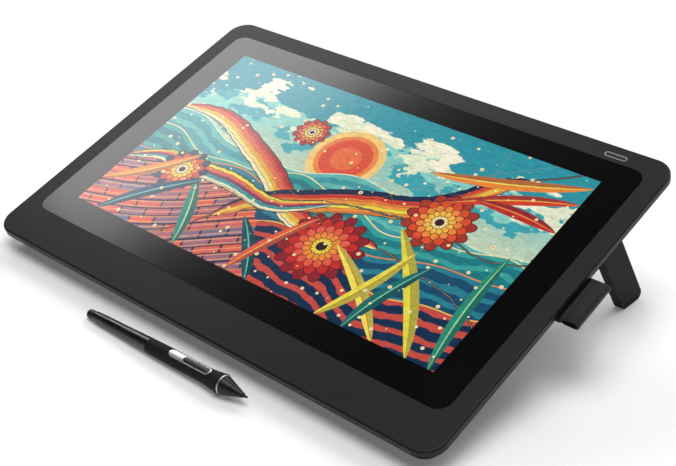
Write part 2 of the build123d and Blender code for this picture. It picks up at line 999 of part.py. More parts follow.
def frame_screws():
    """Screws that hold the inner frame under the front frame."""
    bite = under_shield - under_inner + small_screw_bite
    size = (small_screw_head_radius, small_screw_head_height, small_screw_radius, under_inner, bite)
    return group([screw(*size, spot) for spot in inner_screw_spots])


def board_screws():
    """Screws that hold the main board on the inner frame's standoffs."""
    bite = board_top - under_board + small_screw_bite
    size = (small_screw_head_radius, small_screw_head_height, small_screw_radius, under_board, bite)
    return group([screw(*size, spot) for spot in board_screw_spots()])


def stand_inserts():
    """Threaded brass inserts for a stand or an arm."""
    low = back_face + insert_recess
    high = low + insert_length
    inserts = []
    for spot in stand_spots:
        thread = post(stand_thread_radius, high + cut_over, low - cut_over, spot)
        inserts.append(post(insert_radius, high, low, spot) - thread)
    return group(inserts)


def cable_cover():
    """Lid of the cable compartment, with two snaps and a mouth for the cable."""
    grow = rebate_width - cover_clearance
    depth = bay_depth + grow * 2
    lid = slab(bay_width + grow * 2, depth, bay_corner + grow, rebate_floor, back_face, y=bay_middle)
    rear = bay_middle + depth / 2
    mouth_width = channel_width - cover_clearance * 2
    mouth_top = rebate_floor + cut_over
    lid -= block(mouth_width, rebate_width * 4, mouth_top, back_face - cut_over, socket_place, rear)
    snap_station = bay_front + cover_clearance + snap_thickness / 2
    snap_top = rebate_floor + snap_height
    for side in (-1, 1):
        lid += block(snap_width, snap_thickness, snap_top, rebate_floor, side * snap_place, snap_station)
    return lid


def nib_spots():
    """Stations of the spare nibs in the cable compartment."""
    return [bay_middle + step * nib_store_pitch for step in (-1, 0, 1)]


def nib_start():
    """Left end of the spare nibs."""
    return -bay_width / 2 + nib_store_inset


def nib_level():
    """Height of the spare nibs' axes at the foot of their cradles."""
    return bay_top - nib_cradle_height


def puller_spot():
    """Place of the nib puller's peg."""
    return (-puller_place, bay_middle)


def nib_cradles():
    """Two notched cradles and a peg moulded in the ceiling of the cable compartment."""
    length = nib_inside + nib_proud
    depth = nib_store_pitch * 3
    root = bay_top + bay_wall / 2
    parts = []
    for place in (nib_start() + length / 4, nib_start() + length * 3 / 4):
        parts.append(block(nib_cradle_thickness, depth, root, nib_level(), place, bay_middle))
    parts.append(post(puller_bore, root, bay_top - puller_height, puller_spot()))
    return total(parts)


def lying_nib(radius, station):
    """Straight rod in the cradles at a station."""
    length = nib_inside + nib_proud
    return Pos(nib_start() + length / 2, station, nib_level()) * Rot(0, 90, 0) * Cylinder(radius, length)


def spare_nibs():
    """Three spare nibs clipped in the cradles."""
    return group([lying_nib(nib_radius, station) for station in nib_spots()])


def nib_puller():
    """Ring that grips a worn nib and draws it out, kept on its peg."""
    spot = puller_spot()
    ring = post(puller_radius, bay_top, bay_top - puller_height, spot)
    ring = chamfer(ring.edges().group_by(Axis.Z)[0], nib_radius)
    return ring - post(puller_bore, bay_top + cut_over, bay_top - puller_height - cut_over, spot)


def power_button():
    """Slim button with a flange that keeps it in and a stem that works the switch."""
    length = light_length - (light_wall + button_clearance) * 2
    width = light_width - (light_wall + button_clearance) * 2
    flange_top = -frame_plate
    flange_low = flange_top - button_flange
    key = pill(length, width, button_proud, flange_low, button_place, button_station)
    key += pill(light_length, light_width, flange_top, flange_low, button_place, button_station)
    spot = (button_place, button_station)
    return key + post(button_stem_radius, flange_low, flange_low - button_stem, spot)


def power_light():
    """Clear ring round the power button that shows the state of the tablet."""
    ring = pill(light_length, light_width, 0, -frame_plate, button_place, button_station)
    length = light_length - light_wall * 2
    width = light_width - light_wall * 2
    return ring - pill(length, width, cut_over, -frame_plate - cut_over, button_place, button_station)


def button_board():
    """Small board on two posts, with the switch under the button's stem."""
    top = switch_board_top
    spot = (button_place, button_station)
    board = block(switch_board_length, switch_board_width, top, top - switch_board_thickness, *spot)
    return board + block(switch_size, switch_size, top + switch_height, top, *spot)


def pen_loop():
    """Flattened fabric tube that takes the pen, with the strap that ties it to the case."""
    start = body_width / 2 + loop_gap
    middle = start + loop_reach / 2
    outside = SlotOverall(loop_reach, loop_height)
    inside = SlotOverall(loop_reach - loop_skin * 2, loop_height - loop_skin * 2)
    across = Plane.XZ * (Pos(middle, loop_level) * outside)
    bore = Plane.XZ * (Pos(middle, loop_level) * inside)
    tube = extrude(across, amount=loop_length / 2, both=True)
    strap_start = anchor_face()
    strap_end = start + loop_skin
    top = loop_level + strap_thickness / 2
    low = loop_level - strap_thickness / 2
    strap = block(strap_end - strap_start, strap_length, top, low, (strap_start + strap_end) / 2, 0)
    tube = tube + strap - extrude(bore, amount=loop_length, both=True)
    return Pos(0, loop_station, 0) * tube


def loop_anchor():
    """Plastic bar sewn on the strap's end inside the case."""
    place = anchor_face() - anchor_width / 2
    top = loop_level + anchor_height / 2
    bar = block(anchor_width, anchor_length, top, loop_level - anchor_height / 2, place, loop_station)
    return fillet(bar.edges().filter_by(Axis.Y), anchor_round)


def pen_form(grow):
    """Turned form of the pen from its tail to the shoulder, grown all round."""
    stations = [
        (barrel_begin, barrel_start_radius),
        (barrel_early, barrel_early_radius),
        (barrel_middle, barrel_middle_radius),
        (grip_start, grip_start_radius),
        (grip_waist, grip_waist_radius),
        (grip_neck, grip_neck_radius),
        (grip_end, grip_end_radius),
    ]
    curve = Spline(*[(place, radius + grow) for place, radius in stations])
    start = curve @ 0
    end = curve @ 1
    sides = [Line((start.X, 0), start), Line(end, (end.X, 0)), Line((end.X, 0), (start.X, 0))]
    return revolve(make_face([curve, *sides]), Axis.X)


def rod(radius, start, end):
    """Round bar or hole along the pen's axis."""
    return Pos((start + end) / 2, 0, 0) * Rot(0, 90, 0) * Cylinder(radius, end - start)


def switch_prism(start, end, width):
    """Upright slot-shaped prism over a stretch of the pen."""
    middle = (start + end) / 2
    return Pos(middle, 0, 0) * extrude(SlotOverall(end - start, width), amount=grip_end_radius * 2)


def pen_barrel():
    """Glossy barrel whose front part is the core of the grip."""
    outer = pen_form(0)
    behind = rod(grip_end_radius * 2, 0, grip_start)
    core = pen_form(-grip_skin)
    barrel = (outer & behind) + core
    barrel -= rod(pen_bore_radius, barrel_middle, grip_end + cut_over)
    barrel -= rod(eraser_stem_radius + nib_bore_clearance, 0, barrel_begin + eraser_stem + eraser_travel)
    seat = switch_prism(bezel_start, bezel_end, bezel_width) - pen_form(-bezel_seat)
    return barrel - seat


def pen_grip():
    """Rubber sleeve that swells towards the nose."""
    sleeve = pen_form(0) - rod(grip_end_radius * 2, 0, grip_start) - pen_form(-grip_skin)
    return sleeve - switch_prism(bezel_start, bezel_end, bezel_width)


def switch_bezel():
    """Bright surround of the side switch, with a plain pad behind it."""
    shell = pen_form(bezel_proud) - pen_form(-bezel_seat)
    bezel = shell & switch_prism(bezel_start, bezel_end, bezel_width)
    bezel -= switch_prism(pad_end, bezel_end - bezel_rim, bezel_width - bezel_rim * 2)
    return bezel - switch_axle(switch_axle_radius + switch_axle_clearance)


def switch_axle(radius):
    """Cross axle under the middle of the side switch."""
    length = bezel_width - bezel_rim
    return Pos(switch_middle, 0, switch_level) * Rot(90, 0, 0) * Cylinder(radius, length)


def side_switch():
    """Rocker with two ends, on its cross axle."""
    shell = pen_form(switch_proud) - pen_form(-switch_depth)
    width = bezel_width - (bezel_rim + switch_clearance) * 2
    end = bezel_end - bezel_rim - switch_clearance
    rocker = shell & switch_prism(pad_end + switch_clearance, end, width)
    return rocker + switch_axle(switch_axle_radius)


def eraser():
    """Rounded eraser at the tail, on a short stem."""
    cap = rod(eraser_radius, 0, eraser_length)
    cap = fillet(cap.edges().group_by(Axis.X)[0], eraser_radius * eraser_round_share)
    return cap + rod(eraser_stem_radius, eraser_length, barrel_begin + eraser_stem)


def nose_ring():
    """Bright ring between the grip and the nose."""
    return rod(ring_radius, grip_end, grip_end + ring_length) - rod(pen_bore_radius, 0, pen_length)


def nose_cone():
    """Tapering nose with a fine groove, bored for the nib."""
    start = grip_end + ring_length
    end = pen_length - nib_proud
    length = end - start
    taper = Cone(cone_start_radius, cone_end_radius, length)
    cone = Pos(start + length / 2, 0, 0) * Rot(0, 90, 0) * taper
    groove_share = (cone_groove - start) / length
    groove_radius = cone_start_radius + (cone_end_radius - cone_start_radius) * groove_share
    groove = rod(cone_start_radius, cone_groove, cone_groove + cone_groove_width)
    groove -= rod(groove_radius - cone_groove_depth, 0, pen_length)
    return cone - groove - rod(nib_radius + nib_bore_clearance, 0, pen_length)


def nib():
    """Plastic nib with a rounded point, which moves a little in the nose."""
    start = pen_length - nib_proud - nib_inside
    point = rod(nib_radius, start, pen_length)
    return fillet(point.edges().group_by(Axis.X)[-1], nib_radius - nib_tip_radius)


def pen_coil():
    """Coil on its core behind the nose, which the nib passes into."""
    end = grip_end
    coil = rod(coil_radius, end - coil_length, end)
    return coil - rod(nib_radius + nib_bore_clearance, end - coil_length / 2, pen_length)


def pen_board():
    """Long thin circuit board in the barrel."""
    middle = (pen_board_start + pen_board_end) / 2
    return Pos(middle, 0, 0) * Box(pen_board_end - pen_board_start, pen_board_width, pen_board_thickness)


def place_pen(piece):
    """Lay a piece of the pen on the desk in front of the tablet."""
    rise = (grip_end_radius - barrel_early_radius) / (grip_end - barrel_early)
    lean = atan(rise)
    height = (barrel_early_radius - barrel_early * rise) * cos(lean)
    return Pos(pen_tail_x, -pen_front, height) * Rot(0, -degrees(lean), 0) * Rot(pen_roll, 0, 0) * piece


def write_piece(name, piece):
    """Write one piece as a file named after its node."""
    export_step(piece, os.path.join("parts", name + ".step"))


TABLET_PIECES = {
    "front_frame": front_frame,
    "cover_glass": cover_glass,
    "glass_adhesive": glass_adhesive,
    "lcd_panel": lcd_panel,
    "diffuser_films": diffuser_films,
    "light_guide": light_guide,
    "led_strip": led_strip,
    "panel_tray": panel_tray,
    "sensor_board": sensor_board,
    "shield_plate": shield_plate,
    "inner_frame": inner_frame,
    "frame_screws": frame_screws,
    "main_board": main_board,
    "board_components": board_components,
    "board_screws": board_screws,
    "cable_socket": cable_socket,
    "display_flex": display_flex,
    "sensor_flex": sensor_flex,
    "back_cover": back_cover,
    "case_screws": case_screws,
    "stand_inserts": stand_inserts,
    "front_foot": front_foot,
    "rear_feet": rear_feet,
    "hinge_pins": hinge_pins,
    "hinge_washers": hinge_washers,
    "right_leg": right_leg,
    "right_leg_pad": right_leg_pad,
    "cable_cover": cable_cover,
    "spare_nibs": spare_nibs,
    "nib_puller": nib_puller,
    "power_button": power_button,
    "power_light": power_light,
    "button_board": button_board,
    "pen_loop": pen_loop,
    "loop_anchor": loop_anchor,
}

PEN_PIECES = {
    "pen_barrel": pen_barrel,
    "pen_grip": pen_grip,
    "switch_bezel": switch_bezel,
    "side_switch": side_switch,
    "eraser": eraser,
    "nose_ring": nose_ring,
    "nose_cone": nose_cone,
    "nib": nib,
    "pen_coil": pen_coil,
    "pen_board": pen_board,
}


def main():
    """Build every piece in its place and write its file."""
    os.makedirs("parts", exist_ok=True)
    for name, build in TABLET_PIECES.items():
        piece = build()
        write_piece(name, place_tablet(piece))
        if name.startswith("right_"):
            write_piece(name.replace("right_", "left_"), place_tablet(mirrored(piece)))
    for name, build in PEN_PIECES.items():
        write_piece(name, place_pen(build()))


if __name__ == "__main__":
    main()
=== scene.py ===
"""Looks of a pen display that stands on its fold-out legs, with its pen lying in front of it."""

import logging
import math
from dataclasses import dataclass
from enum import Enum
from functools import cache
from typing import Any, Sequence

import bmesh
import bpy
from bpy.types import Material, Mesh, Node, NodeSocket, NodeTree, Object
from mathutils import Matrix, Vector


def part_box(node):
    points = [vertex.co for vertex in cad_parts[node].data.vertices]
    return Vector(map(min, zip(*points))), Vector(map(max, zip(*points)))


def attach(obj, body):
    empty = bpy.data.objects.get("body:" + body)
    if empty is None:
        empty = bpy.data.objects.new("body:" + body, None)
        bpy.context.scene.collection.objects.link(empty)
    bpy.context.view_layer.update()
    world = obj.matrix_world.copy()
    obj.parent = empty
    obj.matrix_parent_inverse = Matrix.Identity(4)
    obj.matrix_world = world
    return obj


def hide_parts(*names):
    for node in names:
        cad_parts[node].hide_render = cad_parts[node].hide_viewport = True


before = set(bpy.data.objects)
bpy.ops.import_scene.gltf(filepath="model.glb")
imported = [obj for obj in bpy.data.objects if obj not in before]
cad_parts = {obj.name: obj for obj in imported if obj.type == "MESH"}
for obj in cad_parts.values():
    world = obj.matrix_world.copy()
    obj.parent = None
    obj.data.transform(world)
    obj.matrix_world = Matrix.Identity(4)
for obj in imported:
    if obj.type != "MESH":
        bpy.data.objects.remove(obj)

log = logging.getLogger("pen_display")

TILT = math.radians(19.0)


def linear(code: str) -> tuple[float, float, float, float]:
    """Turn an sRGB hex colour into a linear colour.

    Args:
        code: Colour as "#rrggbb".

    Returns:
        Linear red, green, blue and an alpha of 1.
    """
    values = [int(code[place:place + 2], 16) / 255 for place in (1, 3, 5)]
    lit = [value / 12.92 if value <= 0.04045 else ((value + 0.055) / 1.055) ** 2.4 for value in values]
    return (lit[0], lit[1], lit[2], 1.0)


def mm(value: float) -> float:
    """Turn millimetres into metres."""
    return value / 1000


def feed(tree: NodeTree, node: Node, inputs: dict[Any, Any]) -> None:
    """Set a node's inputs.

    Args:
        tree: Node tree that holds the node.
        node: Node whose inputs are set.
        inputs: Input names or numbers, each with a value or the socket or field that feeds it.
    """
    for name, value in inputs.items():
        value = value.socket if isinstance(value, Field) else value
        if isinstance(value, NodeSocket):
            tree.links.new(value, node.inputs[name])
        else:
            node.inputs[name].default_value = value


def add_node(tree: NodeTree, kind: str, settings: dict[str, Any] | None = None,
             inputs: dict[Any, Any] | None = None) -> Node:
    """Add a node with its settings and inputs.

    Args:
        tree: Node tree that gets the node.
        kind: Blender's name of the node type.
        settings: Properties of the node and their values.
        inputs: Input names or numbers, each with a value or the socket or field that feeds it.

    Returns:
        The new node.
    """
    node = tree.nodes.new(kind)
    for name, value in (settings or {}).items():
        setattr(node, name, value)
    feed(tree, node, inputs or {})
    return node


class Field:
    """A number that varies over a surface: a node socket with arithmetic."""

    def __init__(self, tree: NodeTree, socket: NodeSocket) -> None:
        """Keep the socket and the tree that its further nodes go into."""
        self.tree = tree
        self.socket = socket

    @classmethod
    def lumps(cls, tree: NodeTree, place: NodeSocket, grain: float,
              detail: float = 2.0) -> "Field":
        """Random lumps about as large as a real size.

        Args:
            tree: Node tree that gets the pattern.
            place: Coordinates in metres.
            grain: Size of a lump in millimetres.
            detail: Octaves of finer lumps.

        Returns:
            A field about 0.5, from 0 to 1.
        """
        inputs = {"Vector": place, "Scale": 1 / mm(grain), "Detail": detail}
        return cls(tree, add_node(tree, "ShaderNodeTexNoise", inputs=inputs).outputs["Fac"])

    def math(self, operation: str, *others: Any) -> "Field":
        """Apply one of the Math node's operations.

        Args:
            operation: Name of the operation.
            others: Further fields or numbers that it takes.

        Returns:
            The result as a field.
        """
        inputs = dict(enumerate((self, *others)))
        node = add_node(self.tree, "ShaderNodeMath", {"operation": operation}, inputs)
        return Field(self.tree, node.outputs[0])

    def __add__(self, other: Any) -> "Field":
        """Sum of two fields, or of a field and a number."""
        return self.math("ADD", other)

    def __sub__(self, other: Any) -> "Field":
        """Difference of two fields, or of a field and a number."""
        return self.math("SUBTRACT", other)

    def __mul__(self, other: Any) -> "Field":
        """Product of two fields, or of a field and a number."""
        return self.math("MULTIPLY", other)

    def __truediv__(self, other: Any) -> "Field":
        """Quotient of two fields, or of a field and a number."""
        return self.math("DIVIDE", other)

    def sine(self) -> "Field":
        """Sine of the field in radians."""
        return self.math("SINE")

    def size(self) -> "Field":
        """The field without its sign."""
        return self.math("ABSOLUTE")

    def both(self, other: "Field") -> "Field":
        """The smaller of two masks or distances."""
        return self.math("MINIMUM", other)

    def ranged(self, low: float, high: float, source: tuple[float, float] = (0.3, 0.7),
               blend: str = "LINEAR") -> "Field":
        """Map the field to a range, without going past its ends.

        Args:
            low: Result at the start of the source range.
            high: Result at its end.
            source: Range of the field that is mapped.
            blend: Kind of step between the ends.

        Returns:
            The mapped field.
        """
        inputs = {0: self, 1: source[0], 2: source[1], 3: low, 4: high}
        settings = {"clamp": True, "interpolation_type": blend}
        return Field(self.tree, add_node(self.tree, "ShaderNodeMapRange", settings, inputs).outputs[0])

    def mask(self, soft: float = 0.25) -> "Field":
        """1 where the field is above zero and 0 where it is below, with a soft edge."""
        return self.ranged(0.0, 1.0, (-soft, soft), "SMOOTHSTEP")

    def mixed(self, first: Any, second: Any) -> NodeSocket:
        """Mix two colours by the field, which is the share of the second."""
        settings = {"data_type": "RGBA", "clamp_factor": True}
        return add_node(self.tree, "ShaderNodeMix", settings, {0: self, 6: first, 7: second}).outputs[2]

    def shades(self, colour: str, low: float, high: float) -> NodeSocket:
        """Vary a hex colour between two multiples of it by the field."""
        base = Vector(linear(colour)[:3])
        return self.mixed((*(base * low), 1.0), (*(base * high), 1.0))

    def relief(self, depth: float) -> NodeSocket:
        """Normal of a surface that the field raises by up to a depth in millimetres."""
        inputs = {"Height": self, "Distance": mm(depth), "Strength": 1.0}
        return add_node(self.tree, "ShaderNodeBump", inputs=inputs).outputs[0]


def blank_material(name: str) -> tuple[Material, NodeTree, Node, NodeSocket]:
    """Make a material with a bare Principled shader.

    Args:
        name: Name of the real material.

    Returns:
        The material, its node tree, its shader, and the place on the object in metres.
    """
    material = bpy.data.materials.new(name)
    material.use_nodes = True
    tree = material.node_tree
    tree.nodes.clear()
    shader = add_node(tree, "ShaderNodeBsdfPrincipled")
    add_node(tree, "ShaderNodeOutputMaterial", inputs={"Surface": shader.outputs[0]})
    return material, tree, shader, add_node(tree, "ShaderNodeTexCoord").outputs["Object"]


class MouldTexture(Enum):
    """Grades of spark-eroded mould texture: size of its lumps and its depth, in millimetres."""

    COARSE = (1.0, 0.012)
    FINE = (0.6, 0.008)
    SATIN = (0.3, 0.004)


@dataclass(frozen=True)
class MouldedPlastic:
    """Injection-moulded plastic with the fine texture of a spark-eroded mould.

    The texture breaks the highlight into a soft, even sheen and dulls it. It is about 0.1 mm on
    the real part, too fine for the render, and drawn about ten times coarser and shallower.
    """

    name: str
    colour: str
    roughness: float = 0.5
    texture: MouldTexture = MouldTexture.COARSE
    shine: float = 0.3
    mottle: float = 0.06
    flow_scale: float = 25.0
    uneven: float = 0.05
    ior: float = 1.52

    def build(self) -> Material:
        """Make the material.

        Returns:
            The finished material.
        """
        material, tree, shader, place = blank_material(self.name)
        grain, depth = self.texture.value
        fine = Field.lumps(tree, place, grain, detail=3.0)
        both = fine + Field.lumps(tree, place, grain * self.flow_scale)
        tone = both.ranged(0, 1, source=(0.8, 1.2))
        feed(tree, shader, {
            "Base Color": tone.shades(self.colour, 1 - self.mottle, 1 + self.mottle),
            "Roughness": fine.ranged(self.roughness - self.uneven, self.roughness + self.uneven),
            "Normal": fine.relief(depth), "IOR": self.ior, "Specular IOR Level": self.shine,
        })
        return material


@dataclass(frozen=True)
class SoftRubber:
    """Moulded silicone rubber, whose dull skin shows a faint bloom of dust and handling."""

    name: str
    colour: str
    roughness: float = 0.75
    grain: float = 0.6
    bloom_scale: float = 30.0
    bloom: float = 1.35
    uneven: float = 0.08
    depth: float = 0.02
    ior: float = 1.43
    shine: float = 0.15

    def build(self) -> Material:
        """Make the material.

        Returns:
            The finished material.
        """
        material, tree, shader, place = blank_material(self.name)
        fine = Field.lumps(tree, place, self.grain, detail=4.0)
        bloom = Field.lumps(tree, place, self.grain * self.bloom_scale, detail=3.0)
        feed(tree, shader, {
            "Base Color": bloom.ranged(0, 1).shades(self.colour, 1.0, self.bloom),
            "Roughness": bloom.ranged(self.roughness - self.uneven, self.roughness + self.uneven),
            "Normal": fine.relief(self.depth), "IOR": self.ior, "Specular IOR Level": self.shine,
        })
        return material


@dataclass(frozen=True)
class PolishedPlastic:
    """Smooth acrylic-capped plastic: a deep colour under a clear gloss, with faint smears."""

    name: str
    colour: str
    roughness: float = 0.12
    coat: float = 0.4
    coat_roughness: float = 0.08
    smear: float = 9.0
    cleaner: float = 0.04
    duller: float = 0.05
    paler: float = 1.25
    ior: float = 1.49

    def build(self) -> Material:
        """Make the material.

        Returns:
            The finished material.
        """
        material, tree, shader, place = blank_material(self.name)
        smear = Field.lumps(tree, place, self.smear, detail=3.0)
        feed(tree, shader, {
            "Base Color": smear.ranged(0, 1).shades(self.colour, 1.0, self.paler),
            "Roughness": smear.ranged(self.roughness - self.cleaner, self.roughness + self.duller),
            "IOR": self.ior, "Coat Weight": self.coat, "Coat Roughness": self.coat_roughness,
        })
        return material


@dataclass(frozen=True)
class WorkedMetal:
    """Metal with the fine marks of its making, which stretch its highlights along one axis."""

    name: str
    colour: str
    roughness: float = 0.3
    mark: float = 0.4
    stretch: tuple[float, float, float] = (1.0, 1.0, 1.0)
    depth: float = 0.01
    smoother: float = 0.06
    rougher: float = 0.08
    darker: float = 0.88

    def build(self) -> Material:
        """Make the material.

        Returns:
            The finished material.
        """
        material, tree, shader, place = blank_material(self.name)
        drawn = {"Vector": place, "Scale": self.stretch}
        stretched = add_node(tree, "ShaderNodeMapping", inputs=drawn).outputs[0]
        marks = Field.lumps(tree, stretched, self.mark, detail=3.0)
        feed(tree, shader, {
            "Base Color": marks.ranged(0, 1).shades(self.colour, self.darker, 1.0),
            "Roughness": marks.ranged(self.roughness - self.smoother, self.roughness + self.rougher),
            "Normal": marks.relief(self.depth), "Metallic": 1.0,
        })
        return material


@dataclass(frozen=True)
class ElasticWeave:
    """Woven elastic of black yarn: rows of small ribs that catch the light one by one, with painted shade
    between the ribs and a painted highlight on their tops.

    The yarn is about 0.4 mm on the real strap, and is drawn at 0.6 mm so that it shows.
    """

    name: str
    colour: str
    yarn: float = 0.6
    pick_share: float = 1.6
    fibre_share: float = 0.6
    fuzz_share: float = 0.35
    # Shares of the yarn's colour: darker between the ribs as painted shade, paler on top of them as a painted
    # highlight.
    between: float = 0.75
    painted_highlight_on_top: float = 1.25
    depth: float = 0.05
    sheen: float = 0.2

    def build(self) -> Material:
        """Make the material, which follows the piece's own UV map in metres.

        Returns:
            The finished material.
        """
        material, tree, shader, _ = blank_material(self.name)
        cloth = add_node(tree, "ShaderNodeUVMap", {"uv_map": "cloth"}).outputs[0]
        # The wave texture repeats every pi / 10 at a scale of 1.
        plain_period = math.pi / 10
        scale = plain_period / mm(self.yarn)
        ribs = []
        for direction, share in (("X", 1.0), ("Y", self.pick_share)):
            bands = {"wave_type": "BANDS", "wave_profile": "SIN", "bands_direction": direction}
            wave = {"Vector": cloth, "Scale": scale * share, "Distortion": 0.4}
            ribs.append(Field(tree, add_node(tree, "ShaderNodeTexWave", bands, wave).outputs["Fac"]))
        yarns = ribs[0] * ribs[1]
        fuzz = Field.lumps(tree, cloth, self.yarn * self.fibre_share, detail=4.0)
        feed(tree, shader, {
            # The ribs' colour holds painted shade between them and a painted highlight on their tops; their
            # relief is a real bump.
            "Base Color": yarns.shades(self.colour, self.between, self.painted_highlight_on_top),
            "Normal": (fuzz * self.fuzz_share + yarns).relief(self.depth),
            "Roughness": 0.85, "Sheen Weight": self.sheen, "Sheen Roughness": 0.5, "Specular IOR Level": 0.3,
        })
        return material


@dataclass(frozen=True)
class BoardLaminate:
    """Glass-fibre laminate under green solder mask, with copper tracks that show through."""

    name: str
    colour: str = "#0f4a2c"
    track_colour: str = "#1c7a45"
    pitch: float = 3.0
    edge: tuple[float, float] = (0.3, 0.34)
    track: float = 0.03

    def build(self) -> Material:
        """Make the material.

        Returns:
            The finished material.
        """
        material, tree, shader, place = blank_material(self.name)
        settings = {"feature": "F1", "distance": "CHEBYCHEV"}
        inputs = {"Vector": place, "Scale": 1 / mm(self.pitch), "Randomness": 0.6}
        cells = Field(tree, add_node(tree, "ShaderNodeTexVoronoi", settings, inputs).outputs["Distance"])
        tracks = cells.ranged(0, 1, self.edge)
        feed(tree, shader, {
            "Base Color": tracks.mixed(linear(self.colour), linear(self.track_colour)),
            "Normal": tracks.relief(self.track), "Roughness": 0.3,
        })
        return material


@dataclass(frozen=True)
class ThinFilm:
    """Polyester or polyimide film, smooth with faint ripples from its roll."""

    name: str
    colour: str
    roughness: float = 0.25
    ripple: float = 12.0
    darker: float = 0.9
    depth: float = 0.05

    def build(self) -> Material:
        """Make the material.

        Returns:
            The finished material.
        """
        material, tree, shader, place = blank_material(self.name)
        ripples = Field.lumps(tree, place, self.ripple)
        feed(tree, shader, {
            "Base Color": ripples.ranged(0, 1).shades(self.colour, self.darker, 1.0),
            "Normal": ripples.relief(self.depth), "Roughness": self.roughness,
        })
        return material


@dataclass(frozen=True)
class Leaf:
    """A long curved leaf or blade of grass, in millimetres and degrees."""

    root: tuple[float, float]
    length: float
    turn: float
    width: float
    bend: float
    colour: str
    vein: str


@dataclass(frozen=True)
class Bloom:
    """A round flower with rings of petals, in millimetres."""

    middle: tuple[float, float]
    radius: float
    petals: int
    colours: tuple[str, ...]


@dataclass(frozen=True)
class Ribbon:
    """A band of colours that flows across the picture, in millimetres and degrees."""

    start: tuple[float, float]
    turn: float
    length: float
    width: float
    swing: float
    wave: float
    colours: tuple[str, ...]


@dataclass(frozen=True)
class Hill:
    """A terraced hill line across the picture, in millimetres."""

    height: float
    swing: float
    wave: float
    shift: float
    colour: str
    terrace: str
    crest: str


